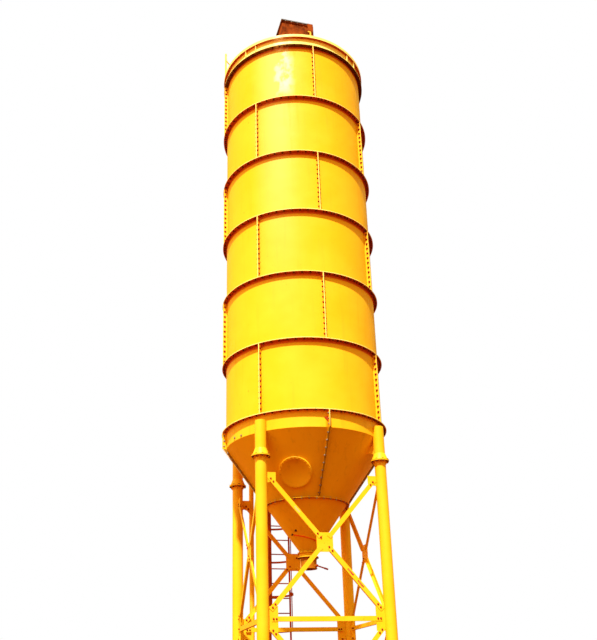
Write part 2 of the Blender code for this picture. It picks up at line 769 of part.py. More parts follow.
def build_ladder(material, axis):
    """Two flat rails bridged by square rungs, with lugs that lie on the shell's flanges."""
    bm = bmesh.new()
    rungs = int((LADDER_TOP - FIRST_RUNG) / RUNG_PITCH)
    middles = [FIRST_RUNG + number * RUNG_PITCH for number in range(rungs)]
    levels = [LADDER_BOTTOM]
    for middle in middles:
        levels += [middle - 0.5 * RUNG_SIDE, middle + 0.5 * RUNG_SIDE]
    levels.append(LADDER_TOP)
    half = 0.5 * LADDER_WIDTH
    for side in (-1.0, 1.0):
        x = side * half
        section = rectangle(x, 0.0, 0.5 * RAIL_PLATE, 0.5 * RAIL_DEPTH)
        faces = [bm.faces.new([bm.verts.new((px, py, levels[0])) for px, py in section])]
        for low, high in zip(levels, levels[1:]):
            faces, moved = extrude(bm, faces)
            bmesh.ops.translate(bm, verts=moved, vec=(0.0, 0.0, high - low))
    inner = half - 0.5 * RAIL_PLATE
    for middle in middles:
        pair = [
            face
            for face in bm.faces
            if abs(abs(face.calc_center_median().x) - inner) < 0.001
            and abs(face.calc_center_median().z - middle) < 0.002
        ]
        edges = [edge for face in pair for edge in face.edges]
        bmesh.ops.delete(bm, geom=pair, context="FACES_ONLY")
        bmesh.ops.bridge_loops(bm, edges=edges)
    ladder = finish("ladder", bm, material, axis, smooth=False)
    lugs = []
    for level in range(COURSES + 1):
        z = RIM_HEIGHT + level * COURSE_PITCH + 2.0 * FLANGE_PLATE + 2.0 * GAP
        for side in (-1.0, 1.0):
            place = (side * half, -0.5 * LUG_LENGTH, z + 0.5 * LUG_PLATE)
            lugs.append(helper(box((LUG_WIDTH, LUG_LENGTH, LUG_PLATE), place)))
    combine(ladder, lugs, "UNION")
    ladder.location = polar(LADDER_DISTANCE, LADDER_AZIMUTH, 0.0)
    ladder.rotation_euler = (0.0, 0.0, math.radians(LADDER_AZIMUTH + 180.0))


def build_cage(material, axis):
    """Safety cage: hoops and uprights cut from one curved sheet, outside the rails."""
    rail_side = 0.5 * LADDER_WIDTH + 0.5 * RAIL_PLATE + GAP
    offset = math.sqrt(CAGE_RADIUS**2 - rail_side**2)
    half_sweep = math.pi - math.asin(rail_side / CAGE_RADIUS)
    columns = []
    strap_angle = 0.5 * CAGE_STRAP / CAGE_RADIUS
    spread = CAGE_SPREAD * half_sweep
    stations = [spread * (2.0 * number / (CAGE_UPRIGHTS - 1) - 1.0) for number in range(CAGE_UPRIGHTS)]
    edges = [-half_sweep]
    for station in stations:
        edges += [station - strap_angle, station + strap_angle]
    edges.append(half_sweep)
    for left, right in zip(edges, edges[1:]):
        is_strap = any(left < station < right for station in stations)
        parts = max(1, round((right - left) / CAGE_FACET))
        for part in range(parts):
            columns.append((left + (right - left) * part / parts, is_strap))
    columns.append((half_sweep, False))
    rows = []
    hoops = int((LADDER_TOP - CAGE_BOTTOM - CAGE_STRAP) / CAGE_HOOP_PITCH) + 1
    for number in range(hoops):
        hoop = CAGE_BOTTOM + number * CAGE_HOOP_PITCH
        rows += [hoop, hoop + CAGE_STRAP]
    bm = bmesh.new()
    grid = [
        [
            bm.verts.new((CAGE_RADIUS * math.sin(angle), offset + CAGE_RADIUS * math.cos(angle), z))
            for angle, _ in columns
        ]
        for z in rows
    ]
    for row in range(len(rows) - 1):
        for column in range(len(columns) - 1):
            if row % 2 == 0 or columns[column][1]:
                low_pair = grid[row][column : column + 2]
                high_pair = grid[row + 1][column : column + 2]
                bm.faces.new(low_pair + high_pair[::-1])
    loose = [vert for vert in bm.verts if not vert.link_faces]
    bmesh.ops.delete(bm, geom=loose, context="VERTS")
    bmesh.ops.recalc_face_normals(bm, faces=bm.faces[:])
    cage = finish("ladder_cage", bm, material, axis, smooth=False)
    plate = cage.modifiers.new("plate", "SOLIDIFY")
    plate.thickness = CAGE_PLATE
    plate.offset = 1.0
    cage.location = polar(LADDER_DISTANCE, LADDER_AZIMUTH, 0.0)
    cage.rotation_euler = (0.0, 0.0, math.radians(LADDER_AZIMUTH + 180.0))


def rounded(points, radius, steps=4):
    """The points of a line whose corners are turned by arcs."""
    route = [points[0]]
    for before, corner, after in zip(points, points[1:], points[2:]):
        entry = corner + (before - corner).normalized() * radius
        leave = corner + (after - corner).normalized() * radius
        for step in range(steps + 1):
            share = step / steps
            route.append(entry.lerp(corner, share).lerp(corner.lerp(leave, share), share))
    route.append(points[-1])
    return route


def tube(name, route, radius, sides, material, axis):
    curve = bpy.data.curves.new(name, "CURVE")
    curve.dimensions = "3D"
    curve.bevel_depth = radius
    curve.bevel_resolution = sides // 4 - 1
    curve.use_fill_caps = True
    spline = curve.splines.new("POLY")
    spline.points.add(len(route) - 1)
    for point, place in zip(spline.points, route):
        point.co = (*place, 1.0)
    curve.materials.append(material)
    pipe = bpy.data.objects.new(name, curve)
    bpy.context.scene.collection.objects.link(pipe)
    pipe.parent = axis
    return pipe


def build_fill_pipe(material, bracket_material, axis):
    """Filling pipe from the hose coupling up behind the shell and over on to the roof."""
    x, y = PIPE_PLACE
    place = Vector((x, y, 0.0))
    inward = -place.normalized()
    distance = place.length
    top = roof_seat() + PIPE_OVER_ROOF
    shoulder = ROOF_RADIUS - ROOF_RIM
    climb = ROOF_RISE * (shoulder - PIPE_ENTRY + PIPE_RADIUS) / (shoulder - CROWN_RADIUS)
    entry_z = roof_seat() + WALL + climb + 0.5 * GAP
    over = inward * (distance - PIPE_ENTRY)
    corners = [
        Vector((x, y, PIPE_BOTTOM)),
        Vector((x, y, top)),
        Vector((x, y, top)) + over,
        Vector((x, y, entry_z)) + over,
    ]
    tube("fill_pipe", rounded(corners, PIPE_BEND), PIPE_RADIUS, 12, material, axis)
    leg = polar(LEG_CIRCLE, LEG_AZIMUTHS[3], 0.0)
    across = place - leg
    bearing = math.degrees(math.atan2(across.x, -across.y))
    start = facet_radius(LEG_RADIUS, LEG_SIDES, bearing - LEG_AZIMUTHS[3]) + 3.0 * GAP
    length = across.length - PIPE_RADIUS - GAP - start
    middle = (start + 0.5 * length, 0.0, below_rim(PIPE_BRACKET_DROP))
    bracket = box((length, FLANGE_PLATE, PIPE_BRACKET_HEIGHT), middle)
    holder = finish("pipe_bracket", bracket, bracket_material, axis, smooth=False)
    holder.location = leg
    holder.rotation_euler = (0.0, 0.0, math.atan2(across.y, across.x))


def build_hose(material, axis):
    """Air hose for the aeration nozzle, laid along the lower cone."""
    start = Vector((HOSE_AZIMUTHS[0], HOSE_DROPS[0]))
    end = Vector((HOSE_AZIMUTHS[1], HOSE_DROPS[1]))
    route = []
    for step in range(HOSE_STEPS + 1):
        azimuth, drop = start.lerp(end, step / HOSE_STEPS)
        z = below_rim(drop)
        route.append(polar(cone_radius(z) + HOSE_SEAT, azimuth, z))
    tube("air_line", route, HOSE_RADIUS, 8, material, axis)


def main():
    clear_scene()
    yellow = new_material("yellow_paint", YELLOW, 0.38)
    shaded = new_material("hopper_paint", ORANGE, 0.42)
    rust = new_material("rusty_paint", RUST, 0.75)
    steel = new_material("bright_steel", STEEL, 0.35, 1.0)
    dark = new_material("dark_steel", DARK, 0.6, 0.5)
    red = new_material("red_rubber", RED, 0.5)
    axis = bpy.data.objects.new("silo_axis", None)
    bpy.context.scene.collection.objects.link(axis)
    axis.location = (0.0, AXIS_Y, 0.0)
    build_courses(yellow, axis)
    build_hopper(shaded, axis)
    build_lower_cone(shaded, axis)
    build_hatch(shaded, axis)
    build_valve(shaded, axis)
    build_valve_lever(dark, axis)
    build_roof_ring(yellow, axis)
    build_roof(yellow, axis)
    build_roof_post(yellow, axis)
    build_filter(rust, dark, axis)
    build_stubs(yellow, axis)
    build_legs(yellow, axis)
    build_bracing(yellow, axis)
    build_ladder(rust, axis)
    build_cage(rust, axis)
    build_fill_pipe(steel, yellow, axis)
    build_hose(red, axis)


main()
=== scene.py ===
"""Looks of a bolted cement silo, laid over its packed frame.

Azimuths are degrees round the silo's upright axis: 0 faces the front (-Y) and
they grow towards +X, as in the part's source. Drops are metres below the rim.
"""

import json
import math

import bmesh
import bpy
from bpy.props import FloatProperty, FloatVectorProperty, IntProperty, PointerProperty
from mathutils import Matrix, Vector

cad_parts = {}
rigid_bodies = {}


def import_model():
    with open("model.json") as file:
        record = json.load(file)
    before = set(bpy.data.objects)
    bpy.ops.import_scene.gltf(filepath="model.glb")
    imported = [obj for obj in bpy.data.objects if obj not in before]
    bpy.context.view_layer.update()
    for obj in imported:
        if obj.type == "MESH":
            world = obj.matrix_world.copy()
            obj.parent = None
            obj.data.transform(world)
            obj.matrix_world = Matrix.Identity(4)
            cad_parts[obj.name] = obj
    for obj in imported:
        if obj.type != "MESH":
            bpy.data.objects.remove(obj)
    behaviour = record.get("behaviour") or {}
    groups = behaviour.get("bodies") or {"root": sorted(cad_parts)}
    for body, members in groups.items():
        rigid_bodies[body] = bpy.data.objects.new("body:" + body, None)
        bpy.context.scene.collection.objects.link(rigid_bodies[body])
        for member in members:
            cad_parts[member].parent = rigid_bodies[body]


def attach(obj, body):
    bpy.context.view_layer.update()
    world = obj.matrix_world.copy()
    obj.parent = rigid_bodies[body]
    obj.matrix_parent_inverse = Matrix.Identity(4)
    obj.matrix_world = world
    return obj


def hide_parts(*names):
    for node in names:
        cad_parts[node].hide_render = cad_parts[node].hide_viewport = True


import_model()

bl_info = {
    "name": "Cement silo",
    "version": (1, 0, 0),
    "blender": (4, 5, 0),
    "location": "View3D > Sidebar > Silo",
    "description": "Builds the sheets, hopper, legs and fittings of a bolted cement silo",
    "category": "Add Mesh",
}

AXIS = Vector((0.0, -0.361, 0.0))
ORIGIN = Vector((0.0, 0.0, 0.0))
FIXED = "silo"
MOVING = "lever"
# Space between two bolted faces, and how close two measures count as one
GAP = 0.0003
TOUCH = 0.0001
# Bolts up one seam and between two seams, and the degrees that a facet of a sheet spans
SEAM_BOLTS = 12
SPAN_BOLTS = 8
FACET = 2.5
# Heights between which undersides take the dark colour of dirt and painted shade in place of the red of
# primer and painted shade, and the top of the outlet, under which the valve body takes a painted shade
HIGH_BAND = (13.9, 14.3, 14.42, 14.50)
OUTLET_TOP = (3.81, 3.83)
# Reach of the painted highlight over the front, to the left and right of the axis
WIDE_HAZE = (-0.95, -0.40, -0.38, 0.12)
NARROW_STRIP = (-0.46, -0.30, -0.14, 0.10)
# Colours painted over the paint: painted shade on the valve body, and painted highlights on the left cone
# seam's edge, down the front, on the flange edges and on the roof ring's wall
OUTLET_PAINTED_SHADE = (0.34, 0.080, 0.002)
SEAM_EDGE_HIGHLIGHT = (0.95, 0.80, 0.50)
FRONT_HIGHLIGHT = (1.0, 0.92, 0.62)
EDGE_HIGHLIGHT = (1.0, 0.86, 0.22)


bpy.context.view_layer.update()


def length(name, default, description):
    return FloatProperty(
        name=name, default=default, description=description, unit="LENGTH", subtype="DISTANCE"
    )


def amount(name, default, description):
    """A plain number, or an angle in degrees."""
    return FloatProperty(name=name, default=default, description=description)


def four(name, default, description):
    """Four azimuths, in degrees."""
    return FloatVectorProperty(name=name, default=default, description=description, size=4)


def colour(name, red, green, blue, description):
    return FloatVectorProperty(
        name=name, default=(red, green, blue, 1.0), description=description, subtype="COLOR", size=4, max=4.0
    )


class SiloShell(bpy.types.PropertyGroup):
    """Sheets of the round part"""

    wall_radius: length("Wall radius", 1.5, "Outer radius of the sheets")
    sheet: length("Sheet", 0.006, "Thickness of a sheet")
    plate: length("Flange plate", 0.008, "Thickness of a turned flange")
    flange_width: length("Flange width", 0.082, "How far the flanges stand out")
    rim_height: length("Rim height", 6.15, "Height of the lowest ring joint")
    course_pitch: length("Course height", 1.3672, "Height of one ring of sheets")
    courses: IntProperty(name="Courses", default=6, description="Number of rings of sheets")
    odd_seams: four("Odd seams", (-77.3, 16.9, 107.0, 197.0), "Seams of the first, third and fifth rings")
    even_seams: four("Even seams", (-29.6, 64.3, 150.5, 240.5), "Seams of the second, fourth and sixth rings")
    bolt: length("Bolt size", 0.0155, "Radius of a bolt head over its corners")
    edge: length("Edge", 0.002, "Rounding of the sheet edges")


class SiloHopper(bpy.types.PropertyGroup):
    """Collar, cones, hatch and outlet"""

    collar_drop: length("Collar drop", 0.305, "Lower end of the straight collar")
    apex_drop: length("Apex drop", 2.43, "Where the cone's walls would meet")
    joint_drop: length("Joint drop", 1.38, "Joint between the two cones")
    joint_width: length("Joint flange", 0.06, "Width of the joint's flange")
    neck_drop: length("Neck drop", 2.205, "Top of the outlet's neck")
    ring_top_drop: length("Outlet ring top", 2.235, "Top of the outlet ring")
    ring_drop: length("Outlet ring drop", 2.33, "Underside of the outlet ring")
    ring_radius: length("Outlet ring radius", 0.19, "Outer radius of the outlet ring")
    bore: length("Bore", 0.145, "Inner radius of the outlet")
    hatch_azimuth: amount("Hatch azimuth", -9.8, "Side on which the inspection cover sits")
    hatch_drop: length("Hatch drop", 0.976, "Drop of the cover's middle")
    hatch_radius: length("Hatch radius", 0.293, "Radius of the inspection cover")
    hatch_rise: length("Hatch rise", 0.032, "How far the cover stands proud")
    valve_radius: length("Valve radius", 0.159, "Outer radius of the valve body")
    valve_drop: length("Valve drop", 2.53, "Lower end of the valve body")
    shaft_drop: length("Shaft drop", 2.485, "Height of the valve's shaft")
    shaft_azimuth: amount("Shaft azimuth", 55.0, "Direction of the valve's shaft")
    lever_length: length("Lever length", 0.34, "Length of the hand lever")
    lever_droop: amount("Lever droop", 5.0, "Angle of the closed lever under the level")


class SiloTop(bpy.types.PropertyGroup):
    """Roof ring, roof, post and filter"""

    ring_height: length("Ring height", 0.195, "Height of the roof ring")
    ring_radius: length("Ring radius", 1.585, "Outer radius of the rim flange")
    ring_wall: length("Ring wall", 1.53, "Outer radius of the ring's upright wall")
    lip: length("Lip", 0.057, "Height of the rim's lip")
    roof_radius: length("Roof radius", 1.57, "Radius of the roof")
    roof_rim: length("Roof rim", 0.12, "Flat rim of the roof")
    roof_rise: length("Roof rise", 0.30, "Rise of the roof's cone")
    crown_radius: length("Crown radius", 0.46, "Flat crown under the filter")
    post_azimuth: amount("Post azimuth", -84.9, "Place of the roof post")
    post_radius: length("Post distance", 1.545, "Distance of the post from the axis")
    post_height: length("Post height", 0.95, "Height of the post")
    filter_azimuth: amount("Filter azimuth", 16.5, "Turn of the dust filter")
    filter_side: length("Filter side", 0.60, "Side of the filter housing")
    filter_top: length("Filter top", 10.15, "Top of the filter above the rim")


class SiloLegs(bpy.types.PropertyGroup):
    """Legs and bracing"""

    azimuths: four("Leg azimuths", (-29.5, 60.5, 150.5, -119.5), "Sides on which the legs stand")
    circle: length("Leg circle", 1.5517, "Distance of the legs from the axis")
    radius: length("Leg radius", 0.1015, "Radius of a leg")
    stub_drop: length("Stub top", 0.12, "Top of the leg's upper piece")
    skirt_drop: length("Skirt drop", 0.635, "Top of the flared skirt")
    flange_top_drop: length("Flange top", 0.747, "Top of the leg flange")
    flange_drop: length("Flange underside", 0.775, "Underside of the leg flange")
    flange_radius: length("Flange radius", 0.165, "Radius of the leg flange")
    skirt_radius: length("Skirt radius", 0.148, "Wide end of the skirt")
    lower_skirt_drop: length("Lower skirt", 0.86, "Lower end of the ribs under the flange")
    foot_side: length("Foot side", 0.42, "Side of the foot plate")
    foot_plate: length("Foot plate", 0.02, "Thickness of the foot plate")
    brace_centre_drop: length("Crossing drop", 2.235, "Crossing of the upper braces")
    beam_drop: length("Beam drop", 3.49, "Middle of the level beam")
    brace_slope: amount("Brace slope", 1.157, "Fall of a brace for each metre outwards")


class SiloAccess(bpy.types.PropertyGroup):
    """Ladder, cage, filling pipe and air hose"""

    ladder_azimuth: amount("Ladder azimuth", -161.3, "Side of the ladder")
    ladder_distance: length("Ladder distance", 1.85, "Distance of the ladder from the axis")
    ladder_width: length("Ladder width", 0.44, "Distance between the rails")
    ladder_bottom: length("Ladder bottom", 0.32, "Lower end of the rails")
    ladder_top: length("Ladder top", 15.55, "Upper end of the rails")
    first_rung: length("First rung", 0.42, "Height of the lowest rung")
    rung_pitch: length("Rung pitch", 0.29, "Distance between the rungs")
    cage_radius: length("Cage radius", 0.35, "Radius of the safety hoops")
    cage_bottom: length("Cage bottom", 2.70, "Height of the first hoop")
    hoop_pitch: length("Hoop pitch", 0.70, "Distance between the hoops")
    pipe_radius: length("Pipe radius", 0.048, "Radius of the filling pipe")
    pipe_bottom: length("Pipe bottom", 1.0, "Height of the hose coupling")
    hose_radius: length("Hose radius", 0.008, "Radius of the air hose")


class SiloFinish(bpy.types.PropertyGroup):
    """Colours of the finishes"""

    yellow: colour("Yellow paint", 0.90, 0.50, 0.008, "Paint of the sheets, legs and braces")
    faded: colour("Faded paint", 0.92, 0.56, 0.02, "Paint where the sun has bleached it")
    # Dark colour for rain streaks and dirt; it also darkens the top joint's undersides as painted shade, and
    # the cone's seam flanges
    soot_and_shade: colour("Dirt", 0.11, 0.03, 0.006, "Dirt and rust on downward faces")
    dust: colour("Dust", 0.15, 0.075, 0.012, "Cement dust and dirt on upward ledges")
    rust: colour("Rust", 0.22, 0.07, 0.02, "Rust on the weathered bolts")
    # Red for primer where the paint is worn, and also painted shade on undersides and the painted shadow
    # under each flange
    primer_and_shade: colour("Primer", 0.60, 0.075, 0.008, "Red primer on undersides and where the paint is worn")
    steel: colour("Zinc steel", 0.40, 0.34, 0.26, "Zinc plated bolts")
    dark: colour("Dark steel", 0.085, 0.018, 0.008, "Weathered bolts, and dirt on the lid and lever")
    hose: colour("Air hose", 0.95, 0.08, 0.004, "Rubber of the air hose")


class SiloLight(bpy.types.PropertyGroup):
    """Floor, lights and camera"""

    sun_azimuth: amount("Sun azimuth", -10.0, "Side from which the key light comes")
    sun_elevation: amount("Sun elevation", 55.8, "Height of the key light")
    sun_strength: amount("Sun strength", 6.8, "Strength of the key light")
    low_fill: colour("Low fill", 0.27, 0.03, 0.004, "Warm light that comes back from the ground")
    side_fill: colour("Side fill", 1.78, 0.43, 0.08, "Warm light from round about")
    high_fill: colour("High fill", 0.86, 0.98, 0.36, "Soft light from above")
    left_fill: colour("Left fill", 1.35, 1.35, 0.55, "Bright sky on the left")
    floor: colour("Floor", 0.58, 0.50, 1.0, "Pale studio floor, cool against the warm sky light")
    camera_distance: length("Camera distance", 14.7564, "Distance of the camera from the silo's axis")
    camera_height: length("Camera height", 1.4914, "Height of the camera above the ground")
    camera_yaw: amount("Camera yaw", -0.296, "Turn of the camera to the right")
    camera_pitch: amount("Camera pitch", 21.530, "Upward tilt of the camera")
    camera_roll: amount("Camera roll", -1.772, "Roll of the camera")
    camera_shift: amount("Camera shift", 0.0938, "Upward shift, as a share of the picture's height")
    focal_pixels: amount("Focal length in pixels", 800.41, "Focal length for a picture 640 pixels high")


GROUPS = {
    "silo_shell": SiloShell,
    "silo_hopper": SiloHopper,
    "silo_top": SiloTop,
    "silo_legs": SiloLegs,
    "silo_access": SiloAccess,
    "silo_finish": SiloFinish,
    "silo_light": SiloLight,
}


# Places and sizes


def polar(radius, azimuth, z):
    angle = math.radians(azimuth)
    return Vector((AXIS.x + radius * math.sin(angle), AXIS.y - radius * math.cos(angle), z))


def beside(x, y, z):
    """A place given from the foot of the silo's axis."""
    return AXIS + Vector((x, y, z))


def below(drop):
    return bpy.context.scene.silo_shell.rim_height - drop


def cone_radius(drop):
    """Radius of the cone's outer face at a drop."""
    shell, hopper = bpy.context.scene.silo_shell, bpy.context.scene.silo_hopper
    return shell.wall_radius * (hopper.apex_drop - drop) / (hopper.apex_drop - hopper.collar_drop)


def roof_seat():
    shell, top = bpy.context.scene.silo_shell, bpy.context.scene.silo_top
    return shell.rim_height + shell.courses * shell.course_pitch + 2.0 * shell.plate + top.ring_height


def pairs(seams):
    """Each seam with the next one, round to the first again."""
    seams = list(seams)
    return list(zip(seams, seams[1:] + [seams[0] + 360.0]))


def along(line, z):
    """Radius of a falling (radius, z) line at a height."""
    for (r_top, z_top), (r_low, z_low) in zip(line, line[1:]):
        if z >= z_low - 0.000001:
            return r_top + (r_low - r_top) * (z_top - z) / (z_top - z_low)
    return line[-1][0]


# Modelling steps


def make_active(piece):
    bpy.ops.object.select_all(action="DESELECT")
    piece.select_set(True)
    bpy.context.view_layer.objects.active = piece


def open_piece(name):
    """A new piece at the origin, open in edit mode."""
    bpy.ops.object.select_all(action="DESELECT")
    bpy.ops.object.add(type="MESH", location=ORIGIN)
    piece = bpy.context.object
    piece.name = name
    piece.data.name = name
    bpy.ops.object.mode_set(mode="EDIT")
    bpy.ops.mesh.select_mode(type="VERT")
    return piece


def pick(piece, rule, kind="FACE"):
    """Select the faces, edges or points that the rule holds for."""
    bpy.ops.mesh.select_mode(type=kind)
    bpy.ops.mesh.select_all(action="DESELECT")
    mesh = bmesh.from_edit_mesh(piece.data)
    for item in {"VERT": mesh.verts, "EDGE": mesh.edges, "FACE": mesh.faces}[kind]:
        if rule(item):
            item.select_set(True)
    mesh.select_flush_mode()
    bmesh.update_edit_mesh(piece.data)


def pick_near(piece, place, reach):
    """Select every point near a place."""
    pick(piece, lambda vert: (vert.co - place).length < reach, "VERT")


def pick_cap(piece, height, reach):
    """Select the level face at a height, round the origin's upright line."""

    def is_cap(face):
        middle = face.calc_center_median()
        return abs(middle.z - height) < TOUCH and middle.xy.length < reach

    pick(piece, is_cap)


def move(offset):
    bpy.ops.transform.translate(value=offset)


def swing(angle, axis="Z", centre=AXIS):
    """Turn the selection, right-handed and in degrees. Without a window the operator turns the other way."""
    bpy.ops.transform.rotate(
        value=-math.radians(angle), orient_axis=axis, orient_type="GLOBAL", center_override=centre
    )


def swing_all(angle, axis="Z", centre=AXIS):
    bpy.ops.mesh.select_all(action="SELECT")
    swing(angle, axis, centre)


def extrude(offset):
    bpy.ops.mesh.extrude_region_move(TRANSFORM_OT_translate={"value": offset})


def repeat_up(count, pitch):
    """Copy the selection upwards, each copy over the last."""
    for _ in range(count):
        bpy.ops.mesh.duplicate_move(TRANSFORM_OT_translate={"value": (0.0, 0.0, pitch)})


def draw(points):
    """Extrude one vertex from point to point, and select the whole line."""
    bpy.ops.mesh.select_mode(type="VERT")
    bpy.ops.mesh.primitive_plane_add(size=0.001, location=points[0])
    bpy.ops.mesh.merge(type="CENTER")
    for here, there in zip(points, points[1:]):
        extrude(there - here)
    bpy.ops.mesh.select_linked()


def fill_outline(points):
    """A flat face with the given corners, left selected."""
    draw(points)
    bpy.ops.mesh.edge_face_add()


def revolve(angle, steps, centre=AXIS, copies=False):
    """Spin the selection towards growing azimuths."""
    bpy.ops.mesh.spin(
        steps=steps, angle=-math.radians(angle), center=centre, axis=(0.0, 0.0, 1.0), dupli=copies
    )


def tidy_selection():
    bpy.ops.mesh.select_linked()
    bpy.ops.mesh.remove_doubles(threshold=0.00002)
    bpy.ops.mesh.normals_make_consistent(inside=False)


def ease_edges(edge):
    """Bevel the edges of the selection, and leave the whole form selected."""
    if edge:
        bpy.ops.mesh.select_mode(type="EDGE")
        bpy.ops.mesh.bevel(offset=edge, segments=1, affect="EDGES")
        bpy.ops.mesh.select_mode(type="VERT")
        bpy.ops.mesh.select_linked()


def lathe(outline, steps, centre=AXIS, is_ring=True):
    """Turn a (radius, z) outline a full turn about an upright line."""
    points = [Vector((centre.x, centre.y - radius, z)) for radius, z in outline]
    if is_ring:
        points.append(points[0])
    draw(points)
    revolve(360.0, steps, centre)
    tidy_selection()


def slab(size, centre, edge=0.0015):
    """A block with its edges eased, left selected."""
    bpy.ops.mesh.primitive_cube_add(size=1.0, location=centre, scale=size)
    ease_edges(edge)


def plate(points, thickness, edge=0.0015):
    """Extrude a flat outline into a plate."""
    fill_outline(points)
    extrude(thickness)
    tidy_selection()
    ease_edges(edge)


def rib(points, half):
    """A sharp plate that reaches half its thickness to each side of a flat outline."""
    plate([point - half for point in points], 2.0 * half, edge=0.0)


def rod(sides, radius, depth, place=ORIGIN, tilt=(0.0, 0.0, 0.0)):
    """A cylinder about Z unless it is tilted, left selected."""
    bpy.ops.mesh.primitive_cylinder_add(
        vertices=sides, radius=radius, depth=depth, location=place, rotation=tilt
    )


def fastener(piece, size, grip, has_nut=True):
    """A bolt at the origin along Z: washer and chamfered head on top, nut and thread end below."""
    head, nut = 0.62 * size, 0.80 * size
    washer, washer_radius = 0.18 * size, 1.28 * size
    thread, thread_radius = 0.50 * size, 0.52 * size
    chamfer, crown = 0.16 * size, 0.12 * size
    for side, height in ((1.0, head), (-1.0, nut)) if has_nut else ((1.0, head),):
        seat = side * 0.5 * grip
        rod(10, washer_radius, washer, (0.0, 0.0, seat + side * 0.5 * washer))
        rod(6, size, height, (0.0, 0.0, seat + side * (washer + 0.5 * height)))
        pick_cap(piece, seat + side * (washer + height), size)
        bpy.ops.mesh.inset(thickness=chamfer, depth=crown)
    if has_nut:
        rod(6, thread_radius, thread, (0.0, 0.0, -0.5 * grip - 1.25 * size))
    pick_near(piece, ORIGIN, 3.0 * size + grip)


def level_fastener(piece, size, grip, place, axis="Y", has_nut=True):
    """A bolt laid level by a turn about the named axis, and carried to its place."""
    fastener(piece, size, grip, has_nut)
    swing(90.0, axis, ORIGIN)
    move(place)


def lay_on_cone(drop, azimuth):
    """Turn the selection from flat to the cone's face, and carry it to its place."""
    shell, hopper = bpy.context.scene.silo_shell, bpy.context.scene.silo_hopper
    slope = math.degrees(math.atan(shell.wall_radius / (hopper.apex_drop - hopper.collar_drop)))
    swing(90.0 + slope, "X", ORIGIN)
    move(polar(cone_radius(drop), 0.0, below(drop)))
    swing(azimuth)


# Finished pieces


def apply_modifier(piece, kind, **settings):
    modifier = piece.modifiers.new(kind.lower(), kind)
    for label, value in settings.items():
        setattr(modifier, label, value)
    bpy.context.view_layer.objects.active = piece
    bpy.ops.object.modifier_apply(modifier=modifier.name)


def dress(piece, finish):
    piece.data.materials.clear()
    piece.data.materials.append(bpy.data.materials[finish])


def seat_piece(piece, body, replaced):
    """Put the piece on the body that carries it, and hide the CAD nodes that it stands for."""
    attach(piece, body)
    if replaced:
        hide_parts(*replaced)


def close_piece(piece, finish, body=FIXED, edge=0.0, replaced=()):
    """Leave edit mode, ease the edges, shade, dress and seat the piece."""
    bpy.ops.object.mode_set(mode="OBJECT")
    if edge:
        sharp = math.radians(50.0)
        apply_modifier(piece, "BEVEL", width=edge, segments=2, limit_method="ANGLE", angle_limit=sharp)
    bpy.ops.object.shade_smooth_by_angle(angle=math.radians(35.0))
    if edge:
        apply_modifier(piece, "WEIGHTED_NORMAL", keep_sharp=True)
    dress(piece, finish)
    seat_piece(piece, body, replaced)
    return piece


def shift_piece(piece, offset=None, turned=None):
    """Move or turn a finished piece inside its mesh."""
    make_active(piece)
    bpy.ops.object.mode_set(mode="EDIT")
    bpy.ops.mesh.select_all(action="SELECT")
    if offset is not None:
        move(offset)
    if turned is not None:
        swing(turned)
    bpy.ops.object.mode_set(mode="OBJECT")


def copy_piece(piece, name, replaced=(), offset=None, turned=None):
    """A copy with its own mesh, moved or turned in the mesh."""
    make_active(piece)
    bpy.ops.object.duplicate(linked=False)
    copy = bpy.context.object
    copy.name = name
    copy.data.name = name
    shift_piece(copy, offset, turned)
    seat_piece(copy, FIXED, replaced)


def stand_round(pieces, azimuths):
    """Copy each piece to the other sides, then turn the first of them to its own.

    Each row holds the piece, its name without the number, its slot, and the CAD
    node without the number, or nothing where it stands for none.
    """
    for number in range(len(azimuths), 0, -1):
        for piece, name, slot, node in pieces:
            if number > 1:
                replaced = [f"{node}_{number}"] if node else ()
                copy_piece(piece, f"{name}_{number}", replaced, turned=azimuths[number - 1])
            else:
                shift_piece(piece, turned=azimuths[0])


def repeat_piece(piece, count, pitch):
    """Repeat a finished piece upwards by an array, inside its mesh."""
    apply_modifier(
        piece, "ARRAY", count=count, use_relative_offset=False,
        use_constant_offset=True, constant_offset_displace=(0.0, 0.0, pitch),
    )


def flanged_sheet(name, wall_line, rim_line, start, end, shell):
    """A curved sheet with a flange turned out on all four edges.

    The block between wall and flange edge is spun first, then its outer face is
    inset by the flange plate and pushed in on to the wall.
    """
    piece = open_piece(name)
    spare = math.degrees(0.5 * GAP / wall_line[-1][0])
    outline = [(radius - shell.sheet, z) for radius, z in reversed(wall_line)] + list(rim_line)
    fill_outline([polar(radius, start + spare, z) for radius, z in outline])
    revolve(end - start - 2.0 * spare, round((end - start) / FACET))
    tidy_selection()

    def on_rim(vert):
        return abs((vert.co - AXIS).xy.length - along(rim_line, vert.co.z)) < TOUCH

    pick(piece, lambda face: all(on_rim(vert) for vert in face.verts))
    bpy.ops.mesh.inset(thickness=shell.plate, use_even_offset=True)
    extrude(ORIGIN)
    mesh = bmesh.from_edit_mesh(piece.data)
    mesh.verts.ensure_lookup_table()
    levels = {}
    for vert in mesh.verts:
        if vert.select:
            levels.setdefault(round(vert.co.z, 4), set()).add(vert.index)
    for z, chosen in levels.items():
        pick(piece, lambda vert: vert.index in chosen, "VERT")
        scale = along(wall_line, z) / along(rim_line, z)
        bpy.ops.transform.resize(value=(scale, scale, 1.0), center_override=AXIS)
    return piece


# Finishes


def feed(tree, socket, value):
    """Link a socket, or set a plain number or a colour."""
    if isinstance(value, bpy.types.NodeSocket):
        tree.links.new(value, socket)
    elif isinstance(value, (int, float)):
        socket.default_value = value
    else:
        socket.default_value = (*tuple(value)[:3], 1.0)


def math_node(tree, operation, *values):
    node = tree.nodes.new("ShaderNodeMath")
    node.operation = operation
    for index, value in enumerate(values):
        feed(tree, node.inputs[index], value)
    return node.outputs[0]


def times(tree, product, *values):
    """All the values multiplied."""
    for value in values:
        product = math_node(tree, "MULTIPLY", product, value)
    return product


